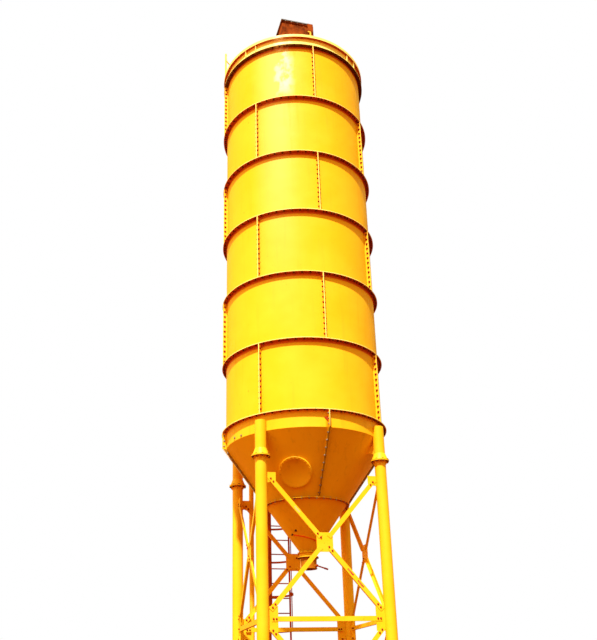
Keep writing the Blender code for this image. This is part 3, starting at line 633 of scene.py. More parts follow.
def range_node(tree, value, low, high, to_low=0.0, to_high=1.0):
    node = tree.nodes.new("ShaderNodeMapRange")
    node.interpolation_type = "SMOOTHSTEP"
    labels = ("Value", "From Min", "From Max", "To Min", "To Max")
    for label, entry in zip(labels, (value, low, high, to_low, to_high)):
        feed(tree, node.inputs[label], entry)
    return node.outputs["Result"]


def band(tree, value, start, full, fading, end):
    """One between two limits and nothing outside them, with soft edges."""
    return times(tree, range_node(tree, value, start, full), range_node(tree, value, fading, end, 1.0, 0.0))


def mix_node(tree, share, first, second, blend="MIX"):
    node = tree.nodes.new("ShaderNodeMix")
    node.data_type = "RGBA"
    node.blend_type = blend
    # A Mix node has its colour sockets at 6 and 7, and its colour result at 2
    for index, value in ((0, share), (6, first), (7, second)):
        feed(tree, node.inputs[index], value)
    return node.outputs[2]


def noise_node(tree, vector, scale, detail, roughness=0.55):
    node = tree.nodes.new("ShaderNodeTexNoise")
    for label, value in (("Vector", vector), ("Scale", scale), ("Detail", detail), ("Roughness", roughness)):
        feed(tree, node.inputs[label], value)
    return node.outputs["Fac"]


def mapped(tree, vector, factors, shift=ORIGIN):
    node = tree.nodes.new("ShaderNodeMapping")
    node.inputs["Location"].default_value = shift
    node.inputs["Scale"].default_value = factors
    tree.links.new(vector, node.inputs["Vector"])
    return node.outputs["Vector"]


def split(tree, vector):
    """The X, Y and Z of a vector, as sockets by name."""
    node = tree.nodes.new("ShaderNodeSeparateXYZ")
    tree.links.new(vector, node.inputs[0])
    return node.outputs


def vector_node(tree, operation, vector):
    node = tree.nodes.new("ShaderNodeVectorMath")
    node.operation = operation
    tree.links.new(vector, node.inputs[0])
    return node


def object_place(tree):
    return tree.nodes.new("ShaderNodeTexCoord").outputs["Object"]


def new_group(name, setting, default):
    """A node group with one number in, and the socket that brings it."""
    group = bpy.data.node_groups.new(name, "ShaderNodeTree")
    socket = group.interface.new_socket(setting, in_out="INPUT", socket_type="NodeSocketFloat")
    socket.default_value = default
    return group, group.nodes.new("NodeGroupInput").outputs[setting]


def close_group(group, masks):
    """Give the group one output for each mask."""
    for label in masks:
        group.interface.new_socket(label, in_out="OUTPUT", socket_type="NodeSocketFloat")
    finish = group.nodes.new("NodeGroupOutput")
    for label, mask in masks.items():
        group.links.new(mask, finish.inputs[label])


def build_weather_group():
    """Patches, specks, rain streaks, grain and dents that every finish shares."""
    group, size = new_group("paint_weather", "Size", 1.0)
    scaled = vector_node(group, "SCALE", object_place(group))
    group.links.new(size, scaled.inputs["Scale"])
    spot = scaled.outputs[0]
    rain = noise_node(group, mapped(group, spot, (6.0, 6.0, 0.32)), 1.6, 4.0, 0.6)
    close_group(group, {
        "Patches": range_node(group, noise_node(group, spot, 1.1, 4.0), 0.35, 0.70),
        "Specks": range_node(group, noise_node(group, spot, 11.0, 5.0, 0.7), 0.665, 0.72),
        "Streaks": range_node(group, rain, 0.52, 0.78),
        "Grain": noise_node(group, spot, 70.0, 2.0),
        "Dents": noise_node(group, spot, 2.3, 1.5, 0.4),
    })


def build_facing_group():
    """Masks for where a face looks, and for where on the silo it lies."""
    group, start = new_group("facing", "Start", 0.70)
    rise = split(group, group.nodes.new("ShaderNodeNewGeometry").outputs["Normal"])["Z"]
    place = object_place(group)
    spot = split(group, place)
    level = mapped(group, place, (1.0, 1.0, 0.0), (0.0, -AXIS.y, 0.0))
    reach = vector_node(group, "LENGTH", level).outputs["Value"]
    upright = math_node(group, "LESS_THAN", math_node(group, "ABSOLUTE", rise), 0.5)
    masks = {
        "Down": range_node(group, times(group, rise, -1.0), start, 0.97),
        "Up": range_node(group, rise, 0.6, 0.95),
        "High": band(group, spot["Z"], *HIGH_BAND),
        "Low": range_node(group, spot["Z"], *OUTLET_TOP, 1.0, 0.0),
        "Rim": times(group, edge_highlight_mask(group, spot["Z"], reach), upright),
        "FlangeShadow": times(group, flange_shadow_mask(group, spot["Z"], reach), upright),
        "Highlight": highlight_mask(group, place, spot),
    }
    masks.update(cone_masks(group, spot, reach))
    close_group(group, masks)


def edge_highlight_mask(group, height, reach):
    """The outer edges of the flanges, and the wall of the roof ring: a painted highlight on the edges, and
    painted light on the ring wall that lies in the lip's shade.
    """
    shell, top = bpy.context.scene.silo_shell, bpy.context.scene.silo_top
    rim = shell.wall_radius + shell.flange_width
    edge = range_node(group, reach, rim - 0.003, rim - 0.0015)
    ring = math_node(group, "GREATER_THAN", height, roof_seat() - top.ring_height + 0.03)
    ring_wall = times(group, ring, range_node(group, reach, top.ring_wall - 0.008, top.ring_wall - 0.004))
    return math_node(group, "MAXIMUM", edge, ring_wall)


def flange_shadow_mask(group, height, reach):
    """The band of wall just under each ring's upper flange, which takes a painted shadow."""
    shell = bpy.context.scene.silo_shell
    rise = math_node(group, "SUBTRACT", height, shell.rim_height + shell.plate)
    share = math_node(group, "FRACT", math_node(group, "DIVIDE", rise, shell.course_pitch))
    on_wall = math_node(group, "LESS_THAN", reach, shell.wall_radius + 0.012)
    return times(group, range_node(group, share, 0.940, 0.962), on_wall)


def highlight_mask(group, place, spot):
    """A painted highlight down the front: a wide haze, and blotches on the top sheet."""
    front = math_node(group, "LESS_THAN", spot["Y"], AXIS.y)
    wide = band(group, spot["X"], *WIDE_HAZE)
    narrow = band(group, spot["X"], *NARROW_STRIP)
    speckle = noise_node(group, mapped(group, place, (3.2, 3.2, 2.2)), 1.6, 3.0, 0.5)
    blotches = range_node(group, speckle, 0.40, 0.62)
    top_sheet = range_node(group, spot["Z"], 12.9, 13.4)
    fading = range_node(group, spot["Z"], 7.0, 13.0, 0.0, 0.20)
    haze = times(group, wide, front, fading)
    return math_node(group, "MAXIMUM", times(group, blotches, top_sheet, narrow, front), haze)


def cone_masks(group, spot, reach):
    """The upright flanges of the cone's seams, which the paint makes darker, and the outer edge of the left
    one, which takes a painted highlight.
    """
    shell, hopper = bpy.context.scene.silo_shell, bpy.context.scene.silo_hopper
    bend, joint = hopper.collar_drop, hopper.joint_drop
    wall = (cone_radius(bend), cone_radius(joint))
    rim = (wall[0] + shell.flange_width, wall[1] + hopper.joint_width)
    under_bend = math_node(group, "LESS_THAN", spot["Z"], below(bend + 0.01))
    over_joint = math_node(group, "GREATER_THAN", spot["Z"], below(joint - 0.01))
    on_cone = times(group, under_bend, over_joint)
    on_left = times(group, on_cone, math_node(group, "LESS_THAN", spot["X"], -0.6))
    masks = {}
    for label, (high, low), beyond, part in (("Fin", wall, 0.012, on_cone), ("SeamHighlight", rim, -0.010, on_left)):
        slope = (high - low) / (joint - bend)
        line = math_node(group, "MULTIPLY_ADD", spot["Z"], slope, high - slope * below(bend) + beyond)
        masks[label] = times(group, math_node(group, "GREATER_THAN", reach, line), part)
    return masks


def place_group(tree, name, **values):
    """A node group placed in a material, by its outputs."""
    node = tree.nodes.new("ShaderNodeGroup")
    node.node_tree = bpy.data.node_groups[name]
    for label, value in values.items():
        node.inputs[label].default_value = value
    return node.outputs


def new_material(name, roughness, metallic=0.0, specular=0.5):
    material = bpy.data.materials.new(name)
    material.use_nodes = True
    shader = material.node_tree.nodes["Principled BSDF"]
    shader.inputs["Roughness"].default_value = roughness
    shader.inputs["Metallic"].default_value = metallic
    shader.inputs["Specular IOR Level"].default_value = specular
    return material, material.node_tree, shader


def bump(tree, shader, height, strength, distance):
    node = tree.nodes.new("ShaderNodeBump")
    node.inputs["Strength"].default_value = strength
    node.inputs["Distance"].default_value = distance
    tree.links.new(height, node.inputs["Height"])
    tree.links.new(node.outputs["Normal"], shader.inputs["Normal"])


def layered(tree, tint, layers):
    """Lay colours over each other, each by its mask and its share."""
    for mask, share, shade in layers:
        tint = mix_node(tree, times(tree, mask, share), tint, shade)
    return tint


def painted(
    name, size, roughness, wear, streaks, soot_and_shade=0.9, dents=0.5, specular=0.3,
    outlet_shade=0.0, rim=0.0, flange_shadow=0.0, fins=0.0, highlight=0.0,
):
    """Oil paint on sheet steel: bleached patches, rain streaks, rust and dirty ledges; red primer with
    painted shade on undersides, a painted shadow under each flange, painted shade on the valve body, darker
    cone seam flanges, and painted highlights on edges and down the front.
    """
    finish = bpy.context.scene.silo_finish
    _, tree, shader = new_material(name, roughness, specular=specular)
    weather = place_group(tree, "paint_weather", Size=size)
    facing = place_group(tree, "facing")
    tint = layered(tree, finish.yellow, (
        (weather["Patches"], 0.55, finish.faded),
        (weather["Streaks"], streaks, finish.soot_and_shade),
        (weather["Specks"], wear, finish.primer_and_shade),
        # Undersides: red primer and painted shade, dark dirt and painted shade at the top joint
        (facing["Down"], soot_and_shade, mix_node(tree, facing["High"], finish.primer_and_shade, finish.soot_and_shade)),
        (facing["Up"], 0.9, finish.dust),
        # A painted highlight on the flange edges, and painted light on the roof ring's wall
        (facing["Rim"], rim, EDGE_HIGHLIGHT),
        # Painted shade: the valve body below the outlet ring darkened as if out of the sun
        (facing["Low"], outlet_shade, OUTLET_PAINTED_SHADE),
        # A painted shadow: a red band on the wall just under each ring's upper flange
        (facing["FlangeShadow"], flange_shadow, finish.primer_and_shade),
        # The cone's seam flanges painted darker
        (facing["Fin"], fins, finish.soot_and_shade),
        # A painted highlight along the outer edge of the cone's left seam
        (facing["SeamHighlight"], fins, SEAM_EDGE_HIGHLIGHT),
        # A painted highlight: pale haze down the front and blotches on the top sheet
        (facing["Highlight"], highlight, FRONT_HIGHLIGHT),
    ))
    tree.links.new(tint, shader.inputs["Base Color"])
    dull = roughness - 0.05
    for mask, share in ((weather["Patches"], 0.14), (weather["Streaks"], 0.15), (facing["Up"], 0.5)):
        dull = math_node(tree, "MULTIPLY_ADD", mask, share, dull)
    tree.links.new(dull, shader.inputs["Roughness"])
    height = math_node(tree, "MULTIPLY_ADD", weather["Grain"], 0.02, weather["Dents"])
    bump(tree, shader, height, dents, 0.02)


def bare(name, base, dirt, roughness, size, metallic=0.0, spread=0.6, specular=0.5):
    """Steel or rubber with rust, zinc or dirt in uneven patches."""
    _, tree, shader = new_material(name, roughness, metallic, specular)
    weather = place_group(tree, "paint_weather", Size=size)
    tint = layered(tree, base, ((weather["Patches"], spread, dirt), (weather["Specks"], 0.7, dirt)))
    tree.links.new(tint, shader.inputs["Base Color"])
    dull = math_node(tree, "MULTIPLY_ADD", weather["Patches"], 0.2, roughness)
    tree.links.new(dull, shader.inputs["Roughness"])
    bump(tree, shader, weather["Grain"], 0.4, 0.002)


def build_paints():
    sheet = {"size": 1.0, "roughness": 0.50, "wear": 0.30, "streaks": 0.08, "specular": 0.10}
    cone = {"size": 1.2, "roughness": 0.50, "wear": 0.45, "streaks": 0.16, "specular": 0.12}
    # The sheets carry the painted shadow under the flanges and the painted highlights on edges and front
    painted("sheet_yellow", rim=1.0, flange_shadow=0.85, highlight=0.75, **sheet)
    painted("cone_yellow", outlet_shade=0.9, rim=0.9, fins=0.75, **cone)
    painted("hatch_yellow", **cone)
    painted("leg_yellow", 1.7, 0.46, wear=0.35, streaks=0.08, dents=0.15, specular=0.16)
    painted("brace_yellow", 2.0, 0.45, wear=0.8, streaks=0.08, soot_and_shade=0.3, dents=0.1, specular=0.16)
    painted("roof_yellow", 0.9, 0.5, wear=0.4, streaks=0.25)
    painted("pipe_yellow", 2.2, 0.45, wear=0.6, streaks=0.2, dents=0.1)


def build_bare_finishes():
    finish = bpy.context.scene.silo_finish
    bare("ladder_rust", (0.50, 0.075, 0.010), (0.24, 0.035, 0.008), 0.75, 3.0, specular=0.15)
    # A rusty brown, made darker as painted shade on the sunlit filter housing
    bare("filter_brown", (0.33, 0.062, 0.004), (0.075, 0.014, 0.003), 0.85, 4.2, spread=0.9, specular=0.06)
    bare("weathered_bolt", finish.dark, finish.rust, 0.6, 6.0, metallic=0.3)
    bare("lid_grey", (0.16, 0.15, 0.14), finish.dark, 0.45, 4.0, metallic=0.5)
    bare("lever_steel", (0.46, 0.05, 0.004), finish.dark, 0.7, 5.0, spread=0.3, specular=0.1)
    bare("red_bolt", (0.38, 0.035, 0.006), (0.20, 0.02, 0.005), 0.7, 6.0, specular=0.15)
    bare("worn_red", (0.42, 0.02, 0.006), (0.75, 0.33, 0.01), 0.6, 9.0, spread=0.7)
    bare("pale_wear_and_lit_edge", (0.80, 0.45, 0.16), (0.85, 0.50, 0.02), 0.6, 9.0)
    bare("zinc_bolt", finish.steel, (0.20, 0.10, 0.04), 0.38, 8.0, metallic=0.7, spread=0.7)
    bare("red_hose", finish.hose, (0.70, 0.06, 0.008), 0.6, 5.0, specular=0.15)


# Operators


class SILO_OT_finishes(bpy.types.Operator):
    """Make the paints and metals"""

    bl_idname = "silo.finishes"
    bl_label = "Finishes"

    def execute(self, context):
        build_weather_group()
        build_facing_group()
        build_paints()
        build_bare_finishes()
        return {"FINISHED"}


class SILO_OT_course_sheets(bpy.types.Operator):
    """Make six rings of four flanged sheets"""

    bl_idname = "silo.course_sheets"
    bl_label = "Course sheets"

    def execute(self, context):
        shell = context.scene.silo_shell
        rim_radius = shell.wall_radius + shell.flange_width
        for first, seams in ((1, shell.odd_seams), (2, shell.even_seams)):
            joint = shell.rim_height + (shell.courses - first) * shell.course_pitch + shell.plate
            low, high = joint + 0.5 * GAP, joint + shell.course_pitch - 0.5 * GAP
            wall_line = ((shell.wall_radius, high), (shell.wall_radius, low))
            rim_line = ((rim_radius, high), (rim_radius, low))
            for number, (start, end) in enumerate(pairs(seams), 1):
                name, replaced = f"course_{first}_sheet_{number}", [f"course_{first}_panel_{number}"]
                piece = flanged_sheet(name, wall_line, rim_line, start, end, shell)
                close_piece(piece, "sheet_yellow", edge=shell.edge, replaced=replaced)
                for course in range(first + 2, shell.courses + 1, 2):
                    drop = Vector((0.0, 0.0, (first - course) * shell.course_pitch))
                    name, replaced = f"course_{course}_sheet_{number}", [f"course_{course}_panel_{number}"]
                    copy_piece(piece, name, replaced, offset=drop)
        return {"FINISHED"}


class SILO_OT_shell_bolts(bpy.types.Operator):
    """Make the bolts of the ring joints and of the upright seams"""

    bl_idname = "silo.shell_bolts"
    bl_label = "Shell bolts"

    def execute(self, context):
        self.ring_bolts(context.scene.silo_shell)
        self.seam_bolts(context.scene.silo_shell)
        self.hopper_seam_bolts(context.scene.silo_shell, context.scene.silo_hopper)
        return {"FINISHED"}

    def ring_bolts(self, shell):
        """Eight bolts between each two seams, on all seven ring joints.

        From the third span on the pick also takes the bolt that then stands
        beside the first one, so those spans carry extra bolts and parts of bolts.
        """
        piece = open_piece("ring_joint_bolts")
        fastener(piece, shell.bolt, 2.0 * shell.plate)
        place = polar(shell.wall_radius + 0.55 * shell.flange_width, 0.0, shell.rim_height + shell.plate)
        move(place)
        for start, end in pairs(sorted([*shell.odd_seams, *shell.even_seams])):
            pitch = (end - start) / SPAN_BOLTS
            pick_near(piece, place, 0.08)
            bpy.ops.mesh.duplicate()
            swing(start + 0.5 * pitch)
            revolve((SPAN_BOLTS - 1) * pitch, SPAN_BOLTS - 1, copies=True)
        pick_near(piece, place, 0.04)
        bpy.ops.mesh.select_linked()
        bpy.ops.mesh.delete(type="VERT")
        close_piece(piece, "weathered_bolt")
        repeat_piece(piece, shell.courses + 1, shell.course_pitch)

    def seam_bolts(self, shell):
        """Twelve bolts up each seam."""
        margin = 0.09
        pitch = (shell.course_pitch - 2.0 * margin) / (SEAM_BOLTS - 1)
        radius = shell.wall_radius + 0.6 * shell.flange_width
        for first, seams, label in ((5, shell.odd_seams, "odd"), (6, shell.even_seams, "even")):
            low = shell.rim_height + (shell.courses - first) * shell.course_pitch + shell.plate
            piece = open_piece(f"seam_bolts_{label}")
            level_fastener(piece, 1.15 * shell.bolt, 2.0 * shell.plate, polar(radius, 0.0, low + margin))
            repeat_up(SEAM_BOLTS - 1, pitch)
            front, reach = polar(radius, 0.0, low), 0.06
            for number, azimuth in enumerate(seams, 1):
                pick(piece, lambda vert: (vert.co - front).xy.length < reach, "VERT")
                if number < len(seams):
                    bpy.ops.mesh.duplicate()
                swing(azimuth)
            close_piece(piece, "red_bolt")
            repeat_piece(piece, shell.courses // 2, 2.0 * shell.course_pitch)

    def hopper_seam_bolts(self, shell, hopper):
        """Three bolts on the collar and nine down each cone seam."""
        piece = open_piece("hopper_seam_bolts")
        spots = [(shell.wall_radius + 0.6 * shell.flange_width, drop) for drop in (0.06, 0.16, 0.26)]
        fall, count, high_margin, low_margin = hopper.joint_drop - hopper.collar_drop, 9, 0.09, 0.07
        for step in range(count):
            drop = hopper.collar_drop + high_margin + step * (fall - high_margin - low_margin) / (count - 1)
            share = (drop - hopper.collar_drop) / fall
            width = shell.flange_width + (hopper.joint_width - shell.flange_width) * share
            spots.append((cone_radius(drop) + 0.6 * width, drop))
        for azimuth in shell.odd_seams:
            for radius, drop in spots:
                level_fastener(piece, 0.92 * shell.bolt, 2.0 * shell.plate, polar(radius, 0.0, below(drop)))
                swing(azimuth)
        close_piece(piece, "zinc_bolt")


class SILO_OT_hopper(bpy.types.Operator):
    """Make the hopper's flanged sheets, the lower cone and their joint"""

    bl_idname = "silo.hopper"
    bl_label = "Hopper"

    def execute(self, context):
        shell, hopper = context.scene.silo_shell, context.scene.silo_hopper
        top = shell.rim_height + shell.plate - 0.5 * GAP
        bend, joint = below(hopper.collar_drop), below(hopper.joint_drop)
        low_radius = cone_radius(hopper.joint_drop)
        rim_radius = shell.wall_radius + shell.flange_width
        wall_line = ((shell.wall_radius, top), (shell.wall_radius, bend), (low_radius, joint))
        rim_line = ((rim_radius, top), (rim_radius, bend), (low_radius + hopper.joint_width, joint))
        for number, (start, end) in enumerate(pairs(shell.odd_seams), 1):
            piece = flanged_sheet(f"hopper_sheet_{number}", wall_line, rim_line, start, end, shell)
            replaced = [f"hopper_panel_{number}"]
            close_piece(piece, "cone_yellow", edge=shell.edge, replaced=replaced)
        self.lower_cone(shell, hopper)
        self.joint_bolts(shell, hopper)
        self.collar_fittings(shell)
        return {"FINISHED"}

    def collar_fittings(self, shell):
        """Two bright bolts on the collar, and a red plate beside the front seam."""
        piece = open_piece("collar_bolts")
        for azimuth, drop in ((-57.4, 0.248), (-49.0, 0.265)):
            place = polar(shell.wall_radius, 0.0, below(drop))
            level_fastener(piece, 0.019, 0.004, place, "X", has_nut=False)
            swing(azimuth)
        close_piece(piece, "zinc_bolt")
        piece = open_piece("collar_plate")
        corners = ((13.9, 0.125), (16.6, 0.10), (16.6, 0.205))
        points = [polar(shell.wall_radius + 0.001, azimuth, below(drop)) for azimuth, drop in corners]
        plate(points, polar(0.010, 15.0, 0.0) - AXIS, edge=0.001)
        close_piece(piece, "lever_steel")

    def lower_cone(self, shell, hopper):
        """The plain cone from its joint flange to the outlet ring, with a welded seam on two sides."""
        piece = open_piece("lower_cone_sheet")
        top = below(hopper.joint_drop) - GAP
        under = top - shell.plate
        radius, rim = cone_radius(hopper.joint_drop), cone_radius(hopper.joint_drop) + hopper.joint_width
        neck, neck_radius = below(hopper.neck_drop), cone_radius(hopper.neck_drop)
        ring, ring_top, ring_low = hopper.ring_radius, below(hopper.ring_top_drop), below(hopper.ring_drop)
        collar, flange = hopper.valve_radius + 0.004, 0.018
        lathe((
            (radius - shell.sheet, top), (rim, top), (rim, under),
            (radius + 0.004, under), (radius - 0.010, under - 0.008),
            (neck_radius + 0.003, neck), (neck_radius, ring_top + 0.006),
            (neck_radius + 0.008, ring_top), (ring, ring_top), (ring, ring_top - flange),
            (collar + 0.008, ring_top - flange), (collar, ring_top - flange - 0.006),
            (collar, ring_low + flange), (ring, ring_low + flange), (ring, ring_low),
            (hopper.bore, ring_low), (hopper.bore, neck),
        ), 120)
        seam_top = (cone_radius(hopper.joint_drop + 0.02), top - 0.02)
        seam_low = (cone_radius(hopper.neck_drop - 0.03), neck + 0.03)
        deep, proud, half = -0.002, 0.004, Vector((0.006, 0.0, 0.0))
        corners = ((seam_top, deep), (seam_low, deep), (seam_low, proud), (seam_top, proud))
        for azimuth in (16.9, 196.9):
            points = [polar(distance + depth, 0.0, z) - half for (distance, z), depth in corners]
            plate(points, 2.0 * half, edge=0.002)
            swing(azimuth)
        close_piece(piece, "cone_yellow", edge=0.0015, replaced=["lower_cone"])

    def joint_bolts(self, shell, hopper):
        """Bright bolts round the cone joint, and those of the outlet ring."""
        piece = open_piece("cone_joint_bolts")
        radius = cone_radius(hopper.joint_drop) + 0.58 * hopper.joint_width
        fastener(piece, shell.bolt, 2.0 * shell.plate)
        move(polar(radius, 4.0, below(hopper.joint_drop)))
        revolve(350.0, 35, copies=True)
        close_piece(piece, "zinc_bolt")
        piece = open_piece("outlet_ring_bolts")
        height = hopper.ring_drop - hopper.ring_top_drop
        radius = 0.5 * (hopper.ring_radius + hopper.valve_radius) + 0.004
        fastener(piece, 0.012, height)
        move(polar(radius, 0.0, below(hopper.ring_drop) + 0.5 * height))
        revolve(330.0, 11, copies=True)
        close_piece(piece, "weathered_bolt")


class SILO_OT_hatch(bpy.types.Operator):
    """Make the round inspection cover"""

    bl_idname = "silo.hatch"
    bl_label = "Inspection cover"

    def execute(self, context):
        hopper = context.scene.silo_hopper
        radius, rise = hopper.hatch_radius, hopper.hatch_rise
        rim, skirt = radius - 0.012, -0.085
        cover = open_piece("hatch_cover")
        lathe((
            (0.0, rise - 0.004), (0.80 * radius, rise - 0.004), (0.82 * radius, rise),
            (radius - 0.003, rise), (radius, rise - 0.003), (radius, skirt),
            (rim, skirt), (rim, -0.02), (0.0, -0.02),
        ), 72, ORIGIN, is_ring=False)
        lay_on_cone(hopper.hatch_drop, hopper.hatch_azimuth)
        close_piece(cover, "hatch_yellow", replaced=["inspection_hatch"])
        bolts = open_piece("hatch_bolts")
        fastener(bolts, 0.010, 0.004, has_nut=False)
        move(Vector((0.0, -0.91 * radius, rise - 0.002)))
        revolve(345.0, 23, ORIGIN, copies=True)
        bpy.ops.mesh.select_all(action="SELECT")
        lay_on_cone(hopper.hatch_drop, hopper.hatch_azimuth)
        close_piece(bolts, "hatch_yellow")
        return {"FINISHED"}


class SILO_OT_valve(bpy.types.Operator):
    """Make the outlet valve and its lever"""

    bl_idname = "silo.valve"
    bl_label = "Outlet valve"

    def execute(self, context):
        self.body(context.scene.silo_hopper)
        self.lever(context.scene.silo_hopper)
        return {"FINISHED"}

    def body(self, hopper):
        """Waisted body with a boss for the shaft on both sides, and a pale strip that is a painted highlight
        for its sunlit left edge.
        """
        piece = open_piece("valve_body")
        top, low = below(hopper.ring_drop) - GAP, below(hopper.valve_drop)
        outer, bore = hopper.valve_radius, hopper.bore
        waist = outer - 0.007
        lathe((
            (bore, top), (outer, top), (outer, top - 0.016), (waist, top - 0.022),
            (waist, low + 0.024), (outer, low + 0.018), (outer, low), (bore, low),
        ), 72)
        for side in (0.0, 180.0):
            rod(20, 0.026, 0.03)
            swing(90.0, "X", ORIGIN)
            move(polar(outer - 0.001, 0.0, below(hopper.shaft_drop)))
            swing(hopper.shaft_azimuth + side)
        close_piece(piece, "cone_yellow", edge=0.0015, replaced=["outlet_valve"])
        # A thin pale plate on the body's left: a painted highlight for its sunlit edge
        strip = open_piece("valve_seal_strip")
        slab((0.028, 0.004, top - low - 0.045), polar(outer - 0.006, 0.0, 0.5 * (top + low)), edge=0.001)
        swing(-66.0)
        close_piece(strip, "pale_wear_and_lit_edge")

    def lever(self, hopper):
        """Disc, shaft and flat hand lever with a rounded grip, all on the moving body."""
        piece = open_piece("hand_lever")
        shaft, inner, reach = 0.010, -hopper.valve_radius, hopper.valve_radius + 0.045
        height, droop = reach - 0.014, math.radians(hopper.lever_droop)
        upright = math.radians(90.0)
        profile = ((0.0, reach), (0.008, reach), (shaft, reach - 0.002), (shaft, inner), (0.0, inner))
        lathe(profile, 20, ORIGIN, is_ring=False)
        rod(48, 0.136, 0.008, tilt=(upright, 0.0, 0.0))
        rod(12, 0.024, 0.024, (0.0, 0.0, height))
        slab((hopper.lever_length - 0.02, 0.024, 0.014), (0.5 * hopper.lever_length, 0.0, height), edge=0.003)
        swing(-hopper.lever_droop, "Z", ORIGIN)
        end = Vector((math.cos(droop), -math.sin(droop), 0.0)) * (hopper.lever_length - 0.05)
        rod(16, 0.016, 0.10, end + Vector((0.0, 0.0, height)), (0.0, upright, -droop))
        swing_all(90.0, "X", ORIGIN)
        swing(hopper.shaft_azimuth, "Z", ORIGIN)
        move(beside(0.0, 0.0, below(hopper.shaft_drop)))
        close_piece(piece, "lever_steel", body=MOVING, replaced=["valve_lever"])


class SILO_OT_roof(bpy.types.Operator):
    """Make the roof ring, the roof and its post"""

    bl_idname = "silo.roof"
    bl_label = "Roof"

    def execute(self, context):
        shell, top = context.scene.silo_shell, context.scene.silo_top
        self.ring(shell, top)
        self.cone(shell, top)
        self.post(shell, top)
        return {"FINISHED"}

    def ring(self, shell, top):
        """A channel on the top ring joint, with a lip round its rim and paired gussets."""
        piece = open_piece("roof_ring_shell")
        low = shell.rim_height + shell.courses * shell.course_pitch + shell.plate + 0.5 * GAP
        high = low + top.ring_height
        floor, seat = low + shell.plate, high + shell.plate
        inside, rim = shell.wall_radius - shell.sheet, shell.wall_radius + shell.flange_width
        wall, outer, inner = top.ring_wall, top.ring_radius, top.ring_radius - shell.plate
        lathe((
            (inside, low), (rim, low), (rim, floor), (wall, floor), (wall, high),
            (outer, high), (outer, seat + top.lip), (inner, seat + top.lip), (inner, seat),
            (inside, seat), (inside, high), (wall - shell.sheet, high),
            (wall - shell.sheet, floor), (inside, floor),
        ), 144)
        middle = polar(0.5 * (wall + rim) - 0.004, 0.0, 0.5 * (floor + high))
        gusset = (shell.plate, rim - wall - 0.002, top.ring_height - shell.plate)
        for quarter in range(4):
            for azimuth in (-39.5, -29.5):
                slab(gusset, middle)
                swing(azimuth + 90.0 * quarter)
        close_piece(piece, "sheet_yellow", edge=0.002, replaced=["roof_ring"])

    def cone(self, shell, top):
        """Shallow cone with twelve ribs, and the bolts of its rim."""
        piece = open_piece("roof_sheet")
        seat = roof_seat() + 0.0006
        shoulder, crown = top.roof_radius - top.roof_rim, seat + top.roof_rise
        lathe((
            (0.0, crown), (top.crown_radius, crown), (shoulder, seat), (top.roof_radius, seat),
            (top.roof_radius, seat + shell.sheet), (shoulder, seat + shell.sheet),
            (top.crown_radius, crown + shell.sheet), (0.0, crown + shell.sheet),
        ), 120, is_ring=False)
        near = polar(shoulder + 0.005, 0.0, seat + shell.sheet - 0.002)
        far = polar(top.crown_radius, 0.0, crown + shell.sheet - 0.002)
        lift, half, count = Vector((0.0, 0.0, 0.026)), Vector((0.004, 0.0, 0.0)), 12
        for number in range(count):
            rib([near, far, far + lift, near + lift], half)
            swing(360.0 / count * (number + 0.5))
        close_piece(piece, "roof_yellow", edge=0.0015, replaced=["roof"])
        bolts = open_piece("roof_rim_bolts")
        fastener(bolts, 0.010, shell.sheet, has_nut=False)
        move(polar(top.roof_radius - 0.045, 3.0, seat + 0.5 * shell.sheet))
        revolve(354.0, 59, copies=True)
        close_piece(bolts, "weathered_bolt")

    def post(self, shell, top):
        """Square post on a foot plate, with a slanting stay behind it."""
        piece = open_piece("roof_post_bar")
        foot, side = roof_seat() + shell.sheet + 0.0009, 0.04
        middle = polar(top.post_radius, 0.0, foot + 0.5 * top.post_height)
        slab((side, side, top.post_height), middle, edge=0.004)
        slab((0.075, 0.075, 0.006), polar(top.post_radius - 0.02, 0.0, foot + 0.0035), edge=0.001)
        high = polar(top.post_radius, 0.0, foot + top.post_height - 0.20)
        low = polar(top.post_radius - 0.455, 0.0, foot + 0.128)
        half, thick = Vector((0.015, 0.0, 0.0)), Vector((0.0, 0.0, 0.03))
        plate([high - half, high + half, high + half + thick, high - half + thick], low - high, edge=0.002)
        swing_all(top.post_azimuth)
        close_piece(piece, "brace_yellow", replaced=["roof_post"])


